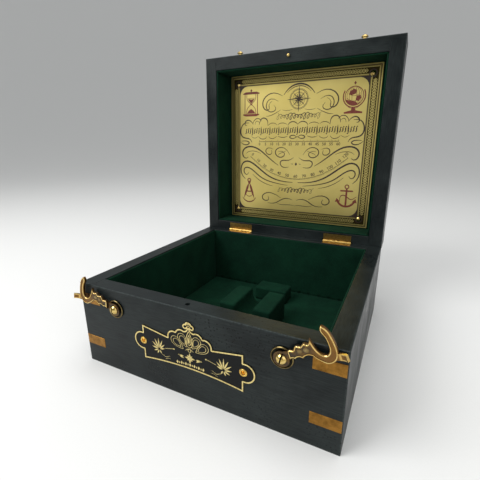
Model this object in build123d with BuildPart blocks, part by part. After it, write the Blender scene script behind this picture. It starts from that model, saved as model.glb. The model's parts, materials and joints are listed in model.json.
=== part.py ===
from build123d import *
from math import asin, cos, degrees, radians, sin, tan
import os

# A lacquered wooden instrument box, velvet lined, with butt hinges, two cast hook latches
# and brass plates. Millimetres. +X right, +Y to the rear, +Z up.
# Origin: centre of the underside. The lid is drawn shut and then swung open to its stop.

# ---- driving dimensions: the case --------------------------------------------------------
box_width = 266.0
box_depth = 256.0
base_height = 91.0
lid_height = 48.0
wall = 17.0
lap_lip = 6.0                # wood of the front and rear boards that covers the side boards' ends
base_panel_thickness = 8.0
base_panel_rebate = 6.0      # how far the base panel reaches into the boards
lid_panel_thickness = 10.0
lid_edge_radius = 3.0
corner_radius = 0.8
rim_ease = 0.7
open_angle = 91.0

# ---- driving dimensions: hinges ----------------------------------------------------------
hinge_inset = 4.0            # hinge axis inside the rear face, at rim height
stop_slack_angle = 0.4       # opening left between the two stop bevels when the lid rests
hinge_end_inset = 58.0       # middle of a hinge inside the side face
hinge_length = 38.0
leaf_width = 11.0
leaf_thickness = 1.5
leaf_gap = 0.1               # leaf face to rim plane
knuckle_radius = 2.6
knuckle_count = 5
knuckle_gap = 0.2
knuckle_clearance = 0.4
hinge_pin_radius = 1.2
hinge_pin_fit = 0.05
hinge_pin_head_radius = 2.0
hinge_pin_head_length = 0.8
hinge_screw_pitch = 13.0
hinge_screw_setback = 6.6    # screw centres from the hinge axis
hinge_screw_head_radius = 2.5
hinge_screw_head_depth = 1.2
hinge_screw_shank_radius = 1.3
hinge_screw_length = 11.0
screw_seat_clearance = 0.05

# ---- driving dimensions: lining and inner blocks -----------------------------------------
lining_thickness = 2.0
lining_setback = 1.2         # top of the wall lining below the rim
lining_edge_radius = 0.8
rest_block_length = 46.0
rest_block_width = 26.0
rest_block_height = 18.0
rest_block_side_inset = 46.0  # centre inside the side wall
rest_block_front_inset = 59.0
rest_block_rear_inset = 33.0
block_edge_radius = 3.0
handle_block_length = 66.0
handle_block_width = 54.0
handle_block_height = 32.0
handle_slot_width = 24.0
handle_slot_depth = 20.0
handle_block_y = 6.0

# ---- driving dimensions: latches ---------------------------------------------------------
latch_end_inset = 48.0       # pivot screw inside the side face
pivot_drop = 19.0            # pivot screw below the rim
escutcheon_radius = 9.3
escutcheon_thickness = 1.6
escutcheon_dish_depth = 0.6
escutcheon_boss_radius = 5.4
escutcheon_bead_width = 1.3
pivot_radius = 2.0
pivot_fit = 0.1
pivot_screw_length = 13.0
pivot_head_radius = 4.4
pivot_head_height = 3.2
slot_width = 1.1
slot_depth = 1.2
hook_eye_radius = 6.5
hook_eye_thickness = 1.3
hook_thickness = 2.6
hook_running_gap = 0.1
hook_bevel = 0.6
hook_rim_width = 1.2         # bevel and raised line round the sunk face of the arm
hook_face_depth = 0.4
hook_reach = 35.9            # pivot to the stud that the claw holds
hook_claw_offset = 3.5       # stud centre above the arm's line when it is in the claw
hook_tongue_length = 12.0    # how far the thin root reaches under the arm
hook_tongue_width = 6.4
hook_tongue_offset = 2.6     # tongue's middle above the arm's line
finger_tab_start = 42.0
finger_tab_end = 50.6
finger_tab_width = 5.0
finger_tab_thickness = 1.8
finger_tab_rise = 3.2
finger_tab_offset = 1.5      # tab's middle below the arm's line
right_hook_rest_angle = 23.0
left_hook_rest_angle = 9.0
stud_neck_radius = 2.4
stud_neck_length = 5.6
stud_head_radius = 4.2
stud_head_height = 3.0
stud_screw_length = 11.0

# ---- driving dimensions: plates, strips and the locating pin -----------------------------
strip_length = 24.5
strip_height = 10.6
strip_thickness = 1.2
strip_recess = 0.8
upper_strip_drop = 16.0      # middle of the upper strips below the rim
lower_strip_z = 26.5
strip_chamfer = 0.25
nameplate_thickness = 1.0
nameplate_drop = 44.0        # eyelets below the rim
nameplate_border = 1.2       # raised line round the sunk field
nameplate_field_depth = 0.3
nameplate_half_width = 52.5  # middle to the straight ends, where the eyelets stand
eyelet_radius = 3.6
eyelet_bore_radius = 1.9
eyelet_height = 0.9
eyelet_pin_radius = 1.0
eyelet_pin_length = 8.0
eyelet_pin_head_radius = 1.7
eyelet_pin_head_height = 1.1
lid_plate_side_gap = 5.0     # lining that shows beside the plate
lid_plate_end_gap = 1.0
lid_plate_thickness = 1.2
lid_plate_chamfer = 0.4
lid_plate_screw_inset = 12.0
lid_screw_head_radius = 3.3
lid_screw_head_height = 1.6
lid_screw_shank_radius = 1.4
lid_screw_length = 9.0
locating_pin_x = -6.0
locating_pin_radius = 2.0
locating_pin_height = 3.0
locating_pin_length = 9.0
locating_hole_clearance = 0.3
locating_hole_depth = 6.0

# ---- places worked out from them ---------------------------------------------------------
half_width = box_width / 2
half_depth = box_depth / 2
inner_half_width = half_width - wall
inner_half_depth = half_depth - wall
axis_y = half_depth - hinge_inset
lid_frame_height = lid_height - lid_panel_thickness
lid_ceiling = base_height + lid_frame_height
front_face = -half_depth
floor_top = base_panel_thickness + lining_thickness
hinge_places = [hinge_end_inset - half_width, half_width - hinge_end_inset]
hinge_screw_places = [-hinge_screw_pitch, 0.0, hinge_screw_pitch]
bevel_angle = (open_angle + stop_slack_angle) / 2
claw_angle = degrees(asin(hook_claw_offset / hook_reach))
latch_x = half_width - latch_end_inset
pivot_height = base_height - pivot_drop
stud_z = pivot_height + hook_reach
upper_strip_z = base_height - upper_strip_drop
nameplate_eye_z = base_height - nameplate_drop
lid_plate_width = 2 * (inner_half_width - lining_thickness - lid_plate_side_gap)
lid_plate_depth = 2 * (inner_half_depth - lining_thickness - lid_plate_end_gap)
lid_plate_face = lid_ceiling - lining_thickness - lid_plate_thickness
rim_middle_y = front_face + wall / 2

lid_swing = (
    Location((0, axis_y, base_height))
    * Location((0, 0, 0), (-open_angle, 0, 0))
    * Location((0, -axis_y, -base_height))
)

os.makedirs("parts", exist_ok=True)


def write(part, name, place=Location()):
    """Label a finished piece, put it in its place and write it."""
    piece = part.moved(place)
    piece.label = name
    export_step(piece, f"parts/{name}.step")


def profile_plane(place):
    """Plane whose x is a radius of the turned piece and whose y runs along its axis."""
    return Plane(origin=place.origin, x_dir=place.x_dir, z_dir=-place.y_dir)


def turned(place, points, mode=Mode.ADD):
    """Turn an outline of (radius, height) points about the z axis of a plane."""
    with BuildSketch(profile_plane(place)) as section:
        with BuildLine():
            Polyline(*points, close=True)
        make_face()
    revolve(section.sketch, axis=Axis(place.origin, place.z_dir), mode=mode)


def round_head(place, head_radius, head_height, shank_radius, shank_length):
    """A domed head standing on a plane, with a plain shank behind it."""
    edge_height = 0.2 * head_height
    cap = head_height - edge_height
    dome_radius = (head_radius**2 + cap**2) / (2 * cap)
    half_angle = asin(head_radius / dome_radius) / 2
    shoulder = (
        dome_radius * sin(half_angle), head_height - dome_radius * (1 - cos(half_angle))
    )
    with BuildSketch(profile_plane(place)) as section:
        with BuildLine():
            Line((0, -shank_length), (shank_radius, -shank_length))
            Line((shank_radius, -shank_length), (shank_radius, 0))
            Line((shank_radius, 0), (head_radius, 0))
            Line((head_radius, 0), (head_radius, edge_height))
            ThreePointArc((head_radius, edge_height), shoulder, (0, head_height))
            Line((0, head_height), (0, -shank_length))
        make_face()
    revolve(section.sketch, axis=Axis(place.origin, place.z_dir))


def driver_slot(place, head_radius, head_height, angle=0.0):
    """Straight screwdriver slot across a head."""
    with BuildSketch(place.offset(head_height - slot_depth)) as slot:
        Rectangle(2 * head_radius + 1, slot_width, rotation=angle)
    extrude(slot.sketch, amount=slot_depth + 1, mode=Mode.SUBTRACT)


def screw_hole(place, radius, depth):
    """Hole going in from a plane for a shank of a given radius and length, a little larger."""
    with BuildSketch(place) as mouth:
        Circle(radius + screw_seat_clearance)
    extrude(mouth.sketch, amount=-depth - screw_seat_clearance, mode=Mode.SUBTRACT)


# ---- the case ------------------------------------------------------------------------------
def rim_edges(piece, face_y=None, face_x=None):
    """Long straight edges of a board at rim height, on a face at a given y or x."""
    picked = []
    for edge in piece.edges().filter_by(GeomType.LINE):
        middle = edge.center()
        off_face = abs(middle.Y - face_y) if face_x is None else abs(middle.X - face_x)
        if abs(middle.Z - base_height) < 0.01 and off_face < 0.01 and edge.length > wall:
            picked.append(edge)
    return picked


def base_panel_outline():
    """Plan of the base panel and of the rebate that it lies in."""
    Rectangle(
        2 * (inner_half_width + base_panel_rebate), 2 * (inner_half_depth + base_panel_rebate)
    )


def base_panel_pocket():
    """Rebate for the base panel, cut from any board that it reaches."""
    with BuildSketch(Plane.XY) as pocket:
        base_panel_outline()
    extrude(pocket.sketch, amount=base_panel_thickness, mode=Mode.SUBTRACT)


def stop_bevel(above):
    """Bevel of a rear board from the hinge axis outwards. The two bevels meet when the lid is open."""
    drop = hinge_inset * tan(radians(bevel_angle))
    with BuildSketch(Plane.YZ.offset(-half_width)) as wedge:
        with BuildLine():
            Polyline(
                (axis_y, base_height), (half_depth, base_height + above * drop),
                (half_depth, base_height), close=True,
            )
        make_face()
    extrude(wedge.sketch, amount=box_width, mode=Mode.SUBTRACT)


def hinge_seats(above):
    """Knuckle hollows, leaf seats and screw holes in the rim of a rear board."""
    barrel_length = hinge_length + 2 * (hinge_pin_head_length + knuckle_clearance)
    seat_depth = leaf_thickness + leaf_gap
    for hinge_x in hinge_places:
        with BuildSketch(Plane.YZ.offset(hinge_x - barrel_length / 2)) as hollow:
            with Locations((axis_y, base_height)):
                Circle(knuckle_radius + knuckle_clearance)
        extrude(hollow.sketch, amount=barrel_length, mode=Mode.SUBTRACT)
        with BuildSketch(Plane.XY.offset(base_height)) as seat:
            with Locations((hinge_x, axis_y - leaf_width / 2)):
                Rectangle(hinge_length, leaf_width)
        extrude(seat.sketch, amount=above * seat_depth, mode=Mode.SUBTRACT)
        for screw_x in hinge_screw_places:
            turned(
                hinge_screw_place(hinge_x + screw_x, above),
                hinge_screw_outline(screw_seat_clearance), mode=Mode.SUBTRACT,
            )


def long_board(name, end, lid):
    """Front (end = -1) or rear (end = 1) board, lapped over the ends of the side boards."""
    above = 1 if lid else -1
    outer = end * half_depth
    lap = end * (half_depth - lap_lip)
    inner = end * inner_half_depth
    with BuildPart() as piece:
        with BuildSketch(Plane.XY.offset(base_height)):
            with BuildLine():
                Polyline(
                    (-half_width, outer), (half_width, outer), (half_width, lap),
                    (inner_half_width, lap), (inner_half_width, inner), (-inner_half_width, inner),
                    (-inner_half_width, lap), (-half_width, lap), close=True,
                )
            make_face()
        extrude(amount=lid_frame_height if lid else -base_height)
        fillet(piece.edges().filter_by(Axis.Z).group_by(Axis.Y)[0 if end < 0 else -1], corner_radius)
        fillet(rim_edges(piece, face_y=inner), rim_ease)
        if end < 0:
            fillet(rim_edges(piece, face_y=outer), rim_ease)
            front_fittings(lid)
        else:
            stop_bevel(above)
            hinge_seats(above)
        if not lid:
            base_panel_pocket()
    write(piece.part, name, lid_swing if lid else Location())


def side_board(name, side, lid):
    """Left (side = -1) or right (side = 1) board."""
    with BuildPart() as piece:
        with BuildSketch(Plane.XY.offset(base_height)):
            with Locations((side * (half_width - wall / 2), 0)):
                Rectangle(wall, 2 * (half_depth - lap_lip))
        extrude(amount=lid_frame_height if lid else -base_height)
        fillet(rim_edges(piece, face_x=side * half_width), rim_ease)
        fillet(rim_edges(piece, face_x=side * inner_half_width), rim_ease)
        if not lid:
            base_panel_pocket()
    write(piece.part, name, lid_swing if lid else Location())


def front_fittings(lid):
    """Holes and recesses in the front boards for what is fixed to them."""
    clearance = screw_seat_clearance if lid else locating_hole_clearance
    depth = locating_pin_length + screw_seat_clearance if lid else -locating_hole_depth
    with BuildSketch(Plane.XY.offset(base_height)) as hole:
        with Locations((locating_pin_x, rim_middle_y)):
            Circle(locating_pin_radius + clearance)
    extrude(hole.sketch, amount=depth, mode=Mode.SUBTRACT)
    for side in (-1, 1):
        if lid:
            screw_hole(stud_place(side), stud_neck_radius, stud_screw_length)
        else:
            for strip_z in (upper_strip_z, lower_strip_z):
                strip_blank(side, strip_z, -strip_recess, mode=Mode.SUBTRACT)
            screw_hole(latch_place(side, 0), pivot_radius, pivot_screw_length)
            screw_hole(eyelet_place(side, 0), eyelet_pin_radius, eyelet_pin_length)


# ---- hinges --------------------------------------------------------------------------------
def hinge_screw_place(screw_x, above):
    """Plane of a countersunk head: z points out of the leaf's open face."""
    face_z = base_height + above * leaf_gap
    return Plane(origin=(screw_x, axis_y - hinge_screw_setback, face_z), z_dir=(0, 0, -above))


def hinge_screw_outline(clearance):
    """Half outline of a countersunk wood screw, or with a clearance of its hole."""
    head = hinge_screw_head_radius + clearance
    shank = hinge_screw_shank_radius + clearance
    tip = -hinge_screw_length - clearance
    return [
        (0, 0), (head, 0), (shank, -hinge_screw_head_depth), (shank, 0.7 * tip), (0, tip),
    ]


def hinge_leaf(name, hinge_x, above, place):
    """One leaf with its knuckles: the odd ones for the base leaf (above = -1), the even for the lid's."""
    pitch = hinge_length / knuckle_count
    root = axis_y - knuckle_radius - knuckle_clearance
    face = base_height + above * leaf_gap
    first = 0 if above < 0 else 1
    own = [hinge_x - hinge_length / 2 + i * pitch for i in range(first, knuckle_count, 2)]
    with BuildPart() as leaf:
        with BuildSketch(Plane.XY.offset(face)):
            with Locations((hinge_x, (axis_y - leaf_width + root) / 2)):
                Rectangle(hinge_length, root - (axis_y - leaf_width))
            for start in own:
                with Locations((start + pitch / 2, (root + axis_y - hinge_pin_radius) / 2)):
                    Rectangle(pitch - knuckle_gap, axis_y - hinge_pin_radius - root)
        extrude(amount=above * leaf_thickness)
        for start in own:
            with BuildSketch(Plane.YZ.offset(start + knuckle_gap / 2)):
                with Locations((axis_y, base_height)):
                    Circle(knuckle_radius)
            extrude(amount=pitch - knuckle_gap)
        with BuildSketch(Plane.YZ.offset(hinge_x - hinge_length / 2)):
            with Locations((axis_y, base_height)):
                Circle(hinge_pin_radius + hinge_pin_fit)
        extrude(amount=hinge_length, mode=Mode.SUBTRACT)
        for screw_x in hinge_screw_places:
            turned(
                hinge_screw_place(hinge_x + screw_x, above),
                hinge_screw_outline(screw_seat_clearance), mode=Mode.SUBTRACT,
            )
    write(leaf.part, name, place)


def hinge_pin(name, hinge_x):
    """Pin through the knuckles, with a low button at each end."""
    half = hinge_length / 2
    end = half + hinge_pin_head_length
    place = Plane(origin=(hinge_x, axis_y, base_height), z_dir=(1, 0, 0))
    with BuildPart() as pin:
        turned(place, [
            (0, -end), (0.6 * hinge_pin_head_radius, -end), (hinge_pin_head_radius, -half),
            (hinge_pin_radius, -half), (hinge_pin_radius, half), (hinge_pin_head_radius, half),
            (0.6 * hinge_pin_head_radius, end), (0, end),
        ])
    write(pin.part, name)


def hinge_screws(name, above, place):
    """The countersunk screws of both hinges in one rim."""
    with BuildPart() as screws:
        for hinge_x in hinge_places:
            for screw_x in hinge_screw_places:
                turned(hinge_screw_place(hinge_x + screw_x, above), hinge_screw_outline(0))
    write(screws.part, name, place)


# ---- lining and inner blocks ---------------------------------------------------------------
def wall_lining(name, x, y, width, depth, floor, height, lid):
    """Velvet on thin card against one wall. Its free edge towards the rim is rounded."""
    with BuildPart() as lining:
        with BuildSketch(Plane.XY.offset(floor)):
            with Locations((x, y)):
                Rectangle(width, depth)
        extrude(amount=height)
        free = lining.faces().sort_by(Axis.Z)[0 if lid else -1].edges()
        fillet(free.sort_by(SortBy.LENGTH)[-2:], radius=lining_edge_radius)
    write(lining.part, name, lid_swing if lid else Location())


def rest_block(name, x, y):
    """Velvet-covered block, with rounded upper edges, that carries what is stored."""
    with BuildPart() as block:
        with BuildSketch(Plane.XY.offset(floor_top)):
            with Locations((x, y)):
                RectangleRounded(rest_block_length, rest_block_width, block_edge_radius)
        extrude(amount=rest_block_height)
        fillet(block.faces().sort_by(Axis.Z)[-1].edges(), radius=block_edge_radius * 0.8)
    write(block.part, name)


def handle_block(name):
    """Velvet-covered block with an open slot, round at the bottom, for the handle."""
    top = floor_top + handle_block_height
    slot_radius = handle_slot_width / 2
    with BuildPart() as block:
        with BuildSketch(Plane.XY.offset(floor_top)):
            with Locations((0, handle_block_y)):
                RectangleRounded(handle_block_length, handle_block_width, block_edge_radius)
        extrude(amount=handle_block_height)
        fillet(block.faces().sort_by(Axis.Z)[-1].edges(), radius=block_edge_radius * 0.8)
        with BuildSketch(Plane.XZ.offset(-handle_block_y - handle_block_width / 2)):
            with Locations((0, top - handle_slot_depth + slot_radius)):
                Circle(slot_radius)
            with Locations((0, top + slot_radius / 2)):
                Rectangle(handle_slot_width, 2 * handle_slot_depth - slot_radius)
        extrude(amount=handle_block_width, mode=Mode.SUBTRACT)
    write(block.part, name)


# ---- latches -------------------------------------------------------------------------------
def latch_place(side, out):
    """Plane of a latch's pivot, facing the front, at a distance out from the front face."""
    return Plane(
        origin=(side * latch_x, front_face - out, pivot_height),
        x_dir=(1, 0, 0), z_dir=(0, -1, 0),
    )


def stud_place(side):
    """Plane of a catch stud on the shut lid's front face, above the pivot."""
    return Plane(
        origin=(side * latch_x, front_face, stud_z), x_dir=(1, 0, 0), z_dir=(0, -1, 0)
    )


def escutcheon(name, side):
    """Round dished plate under a hook, with a beaded edge and a centre boss."""
    rim = escutcheon_radius
    bead = escutcheon_bead_width
    dish = escutcheon_thickness - escutcheon_dish_depth
    bore = pivot_radius + screw_seat_clearance
    with BuildPart() as plate:
        turned(latch_place(side, 0), [
            (bore, 0), (rim, 0), (rim, escutcheon_thickness - 0.3 * bead),
            (rim - 0.3 * bead, escutcheon_thickness), (rim - 0.7 * bead, escutcheon_thickness),
            (rim - bead, dish), (escutcheon_boss_radius, dish),
            (escutcheon_boss_radius, escutcheon_thickness), (bore, escutcheon_thickness),
        ])
    write(plate.part, name)


def pivot_screw(name, side):
    """Slotted dome screw that a hook turns on."""
    out = escutcheon_thickness + hook_running_gap + hook_eye_thickness + hook_running_gap
    place = latch_place(side, out)
    with BuildPart() as screw:
        round_head(
            place, pivot_head_radius, pivot_head_height, pivot_radius, pivot_screw_length + out
        )
        driver_slot(place, pivot_head_radius, pivot_head_height, angle=90 - side * 12)
    write(screw.part, name)


def catch_stud(name, side, place):
    """Round-headed stud that a hook's claw goes behind."""
    seat = stud_place(side)
    with BuildPart() as stud:
        round_head(
            seat.offset(stud_neck_length), stud_head_radius, stud_head_height,
            stud_neck_radius, stud_screw_length + stud_neck_length,
        )
    write(stud.part, name, place)


def hook_outline(side):
    """Flat outline of the cast arm. x runs from the pivot along the arm, y towards the claw's mouth."""
    def at(along, across):
        return (hook_reach * along / 100, side * hook_reach * across / 100)

    with BuildLine() as outline:
        # waves of the upper edge, up to the spike
        Spline(
            at(22.3, 17.5), at(27.9, 20.6), at(35.1, 19.2), at(40.7, 26.2), at(46.8, 28.1), at(53.8, 25.9),
            at(59.3, 30.1), at(64.1, 30.9), at(69.1, 28.4), at(73.8, 32.3), at(77.2, 39.8),
        )
        # mouth of the claw, prong and belly
        Spline(
            at(77.2, 39.8), at(82.5, 19.5), at(92.2, 5), at(100.8, 2.2), at(108.4, 8.9), at(110.6, 23.7),
            at(108.4, 40.4), at(104.2, 55.4), at(108.4, 62.1), at(115.3, 57.4), at(122.8, 37.9),
            at(125.1, 12.8), at(121.4, -4.2), at(110, -15), at(96.4, -16.2), at(85.2, -9.5),
            at(78, -3.9), at(73.3, 2.2),
        )
        # scallops of the lower edge back to the root
        ThreePointArc(at(73.3, 2.2), at(62.4, 4.7), at(51.3, -1.1))
        ThreePointArc(at(51.3, -1.1), at(42.9, 2.8), at(34.5, -1.1))
        ThreePointArc(at(34.5, -1.1), at(28.1, 1.7), at(21.2, -2.8))
        Line(at(21.2, -2.8), at(22.3, 17.5))
    make_face(outline.edges())


def sunk_face(place, side):
    """Area inside the arm's raised line. Its edges are made splines, which a STEP file can hold."""
    with BuildSketch(place) as inner:
        hook_outline(side)
        offset(amount=-hook_rim_width, kind=Kind.ARC, mode=Mode.REPLACE)
    return inner.sketch.faces()[0].to_splines()


def hook(name, side, rest_angle):
    """Cast hook: eye round the pivot, scalloped arm with claw and spike, finger tab turned out."""
    tilt = radians(rest_angle)
    out = escutcheon_thickness + hook_running_gap
    arm_back = out + hook_eye_thickness / 2
    arm_front = arm_back + hook_thickness
    pivot = latch_place(side, 0)
    arm_dir = (side * cos(tilt), 0, sin(tilt))

    def level(height):
        origin = (pivot.origin.X, front_face - height, pivot_height)
        return Plane(origin=origin, x_dir=arm_dir, z_dir=(0, -1, 0))

    tab_across = -side * finger_tab_offset - finger_tab_width / 2
    tab_plane = Plane(
        origin=level(arm_back).origin, x_dir=arm_dir, z_dir=level(0).y_dir
    ).offset(tab_across)
    tab_bend = -hook_thickness / 2 - 0.25 * finger_tab_rise

    with BuildPart() as arm:
        with BuildSketch(level(arm_back)):
            hook_outline(side)
        extrude(amount=hook_thickness)
        chamfer(arm.faces().sort_by(Axis.Y)[0].edges(), length=hook_bevel)
        extrude(sunk_face(level(arm_front), side), amount=-hook_face_depth, mode=Mode.SUBTRACT)
        # eye and its tongue under the arm
        with BuildSketch(level(out)):
            Circle(hook_eye_radius)
            with Locations((hook_tongue_length / 2, side * hook_tongue_offset)):
                Rectangle(hook_tongue_length, hook_tongue_width)
        extrude(amount=hook_eye_thickness)
        # finger tab, curving out of the belly
        with BuildSketch(tab_plane):
            with BuildLine():
                spine = ThreePointArc(
                    (finger_tab_start, -hook_thickness / 2),
                    (0.45 * finger_tab_start + 0.55 * finger_tab_end, tab_bend),
                    (finger_tab_end, -hook_thickness / 2 - finger_tab_rise),
                )
            trace(lines=spine, line_width=finger_tab_thickness)
        extrude(amount=finger_tab_width)
        with BuildSketch(level(0)):
            Circle(pivot_radius + pivot_fit)
        extrude(amount=arm_front + 1, mode=Mode.SUBTRACT)
    write(arm.part, name)


# ---- strips and plates ---------------------------------------------------------------------
def strip_blank(side, strip_z, depth, mode=Mode.ADD):
    """A strip's rectangle at one end of the front board, cut or raised from the front face."""
    middle_x = side * (half_width - corner_radius - strip_length / 2)
    with BuildSketch(Plane.XZ.offset(half_depth)) as blank:
        with Locations((middle_x, strip_z)):
            Rectangle(strip_length, strip_height)
    extrude(blank.sketch, amount=depth, mode=mode)


def strip(name, side, strip_z):
    """Brass strip let into the front board."""
    with BuildPart() as piece:
        strip_blank(side, strip_z, -strip_recess)
        strip_blank(side, strip_z, strip_thickness - strip_recess)
        chamfer(piece.faces().sort_by(Axis.Y)[0].edges(), length=strip_chamfer)
    write(piece.part, name)


def nameplate_outline():
    """Waisted cartouche with round ears and a lobed crest, in hundredths of its half width.

    Heights are measured from the eyelets' line.
    """
    def at(across, up):
        return (nameplate_half_width * across / 100, nameplate_half_width * up / 100)

    with BuildLine() as outline:
        Line(at(100, -35.8), at(100, -17.5))
        ThreePointArc(at(100, -17.5), at(120.4, -0.4), at(100, 16.8))
        Line(at(100, 16.8), at(100, 31.6))
        Line(at(100, 31.6), at(44.2, 22.5))
        ThreePointArc(at(44.2, 22.5), at(40, 34.7), at(27.2, 37.3))
        ThreePointArc(at(27.2, 37.3), at(19.4, 44.6), at(9.9, 43.6))
        ThreePointArc(at(9.9, 43.6), at(5.1, 45.5), at(2.5, 50.3))
        ThreePointArc(at(2.5, 50.3), at(11.2, 52.6), at(6.1, 57.7))
        ThreePointArc(at(6.1, 57.7), at(4.2, 60.8), at(0, 61.7))
        mirror(about=Plane.YZ)
        ThreePointArc(at(-100, -35.8), at(0, -27.8), at(100, -35.8))
    make_face(outline.edges())


def eyelet_place(side, out):
    """Plane of a nameplate eyelet, facing the front."""
    return Plane(
        origin=(side * nameplate_half_width, front_face - out, nameplate_eye_z),
        x_dir=(1, 0, 0), z_dir=(0, -1, 0),
    )


def nameplate(name):
    """Thin plate between the latches, on the front board's face."""
    seat = Plane(origin=(0, front_face, nameplate_eye_z), x_dir=(1, 0, 0), z_dir=(0, -1, 0))
    with BuildPart() as plate:
        with BuildSketch(seat):
            nameplate_outline()
        extrude(amount=nameplate_thickness)
        with BuildSketch(seat.offset(nameplate_thickness)):
            nameplate_outline()
            offset(amount=-nameplate_border, kind=Kind.ARC, mode=Mode.REPLACE)
        extrude(amount=-nameplate_field_depth, mode=Mode.SUBTRACT)
        for side in (-1, 1):
            screw_hole(eyelet_place(side, nameplate_thickness), eyelet_pin_radius, nameplate_thickness)
    write(plate.part, name)


def nameplate_eyelets(name):
    """Two turned rings on the nameplate."""
    with BuildPart() as rings:
        for side in (-1, 1):
            turned(eyelet_place(side, nameplate_thickness - nameplate_field_depth), [
                (eyelet_bore_radius, 0), (eyelet_radius, 0), (eyelet_radius, 0.4 * eyelet_height),
                (0.8 * eyelet_radius, eyelet_height), (eyelet_bore_radius, 0.6 * eyelet_height),
            ])
    write(rings.part, name)


def nameplate_pins(name):
    """Two dome-headed pins through the eyelets."""
    field = nameplate_thickness - nameplate_field_depth
    with BuildPart() as pins:
        for side in (-1, 1):
            round_head(
                eyelet_place(side, field), eyelet_pin_head_radius, eyelet_pin_head_height,
                eyelet_pin_radius, eyelet_pin_length + field,
            )
    write(pins.part, name)


def lid_plate_places():
    """Planes of the four screws on the lid plate, facing down out of the shut lid."""
    reach_x = lid_plate_width / 2 - lid_plate_screw_inset
    reach_y = lid_plate_depth / 2 - lid_plate_screw_inset
    return [
        Plane(origin=(x, y, lid_plate_face), z_dir=(0, 0, -1))
        for x in (-reach_x, reach_x) for y in (-reach_y, reach_y)
    ]


def lid_plate(name):
    """Engraved plate's blank on the velvet backing inside the lid."""
    with BuildPart() as plate:
        with BuildSketch(Plane.XY.offset(lid_plate_face)):
            Rectangle(lid_plate_width, lid_plate_depth)
        extrude(amount=lid_plate_thickness)
        chamfer(plate.faces().sort_by(Axis.Z)[0].edges(), length=lid_plate_chamfer)
        for place in lid_plate_places():
            screw_hole(place, lid_screw_shank_radius, lid_plate_thickness)
    write(plate.part, name, lid_swing)


def lid_plate_screws(name):
    """Four round-headed screws that hold the plate."""
    with BuildPart() as screws:
        for place in lid_plate_places():
            round_head(
                place, lid_screw_head_radius, lid_screw_head_height,
                lid_screw_shank_radius, lid_screw_length,
            )
    write(screws.part, name, lid_swing)


def locating_pin(name):
    """Brass pin in the lid's front rim that drops into the base's front rim."""
    with BuildPart() as pin:
        with BuildSketch(Plane.XY.offset(base_height - locating_pin_height)):
            with Locations((locating_pin_x, rim_middle_y)):
                Circle(locating_pin_radius)
        extrude(amount=locating_pin_height + locating_pin_length)
        fillet(pin.faces().sort_by(Axis.Z)[0].edges(), radius=0.4 * locating_pin_height)
    write(pin.part, name, lid_swing)


# ---- build: base ---------------------------------------------------------------------------
for body, is_lid in (("base", False), ("lid", True)):
    long_board(f"{body}_front_board", -1, is_lid)
    long_board(f"{body}_rear_board", 1, is_lid)
    side_board(f"{body}_left_board", -1, is_lid)
    side_board(f"{body}_right_board", 1, is_lid)

with BuildPart() as base_panel:
    with BuildSketch(Plane.XY):
        base_panel_outline()
    extrude(amount=base_panel_thickness)
write(base_panel.part, "base_panel")

with BuildPart() as base_floor_lining:
    with BuildSketch(Plane.XY.offset(base_panel_thickness)):
        Rectangle(2 * inner_half_width, 2 * inner_half_depth)
    extrude(amount=lining_thickness)
write(base_floor_lining.part, "base_floor_lining")

half_lining = lining_thickness / 2
base_lining_height = base_height - lining_setback - floor_top
for label, end in (("front", -1), ("rear", 1)):
    wall_lining(
        f"base_{label}_lining", 0, end * (inner_half_depth - half_lining), 2 * inner_half_width,
        lining_thickness, floor_top, base_lining_height, False,
    )
for label, side in (("left", -1), ("right", 1)):
    wall_lining(
        f"base_{label}_lining", side * (inner_half_width - half_lining), 0, lining_thickness,
        2 * (inner_half_depth - lining_thickness), floor_top, base_lining_height, False,
    )

rest_block_x = inner_half_width - rest_block_side_inset
front_rest_y = rest_block_front_inset - inner_half_depth
rest_block("left_rest_block", -rest_block_x, front_rest_y)
rest_block("right_rest_block", rest_block_x, front_rest_y)
rest_block("rear_rest_block", 0, inner_half_depth - rest_block_rear_inset)
handle_block("handle_block")

# ---- build: lid ----------------------------------------------------------------------------
with BuildPart() as lid_panel:
    with BuildSketch(Plane.XY.offset(lid_ceiling)):
        RectangleRounded(box_width, box_depth, corner_radius)
    extrude(amount=lid_panel_thickness)
    fillet(lid_panel.faces().sort_by(Axis.Z)[-1].edges(), radius=lid_edge_radius)
    for place in lid_plate_places():
        screw_hole(place, lid_screw_shank_radius, lid_screw_length)
write(lid_panel.part, "lid_panel", lid_swing)

with BuildPart() as lid_backing:
    with BuildSketch(Plane.XY.offset(lid_ceiling - lining_thickness)):
        Rectangle(2 * inner_half_width, 2 * inner_half_depth)
    extrude(amount=lining_thickness)
    for place in lid_plate_places():
        screw_hole(place, lid_screw_shank_radius, lid_height)
write(lid_backing.part, "lid_backing", lid_swing)

lid_lining_floor = base_height + lining_setback
lid_lining_height = lid_frame_height - lining_setback - lining_thickness
for label, end in (("front", -1), ("rear", 1)):
    wall_lining(
        f"lid_{label}_lining", 0, end * (inner_half_depth - half_lining), 2 * inner_half_width,
        lining_thickness, lid_lining_floor, lid_lining_height, True,
    )
for label, side in (("left", -1), ("right", 1)):
    wall_lining(
        f"lid_{label}_lining", side * (inner_half_width - half_lining), 0, lining_thickness,
        2 * (inner_half_depth - lining_thickness), lid_lining_floor, lid_lining_height, True,
    )
lid_plate("lid_plate")
lid_plate_screws("lid_plate_screws")
locating_pin("lid_locating_pin")

# ---- build: hinges, latches, plates --------------------------------------------------------
for label, hinge_x in zip(("left", "right"), hinge_places):
    hinge_leaf(f"{label}_hinge_base_leaf", hinge_x, -1, Location())
    hinge_leaf(f"{label}_hinge_lid_leaf", hinge_x, 1, lid_swing)
    hinge_pin(f"{label}_hinge_pin", hinge_x)
hinge_screws("base_hinge_screws", -1, Location())
hinge_screws("lid_hinge_screws", 1, lid_swing)

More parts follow.
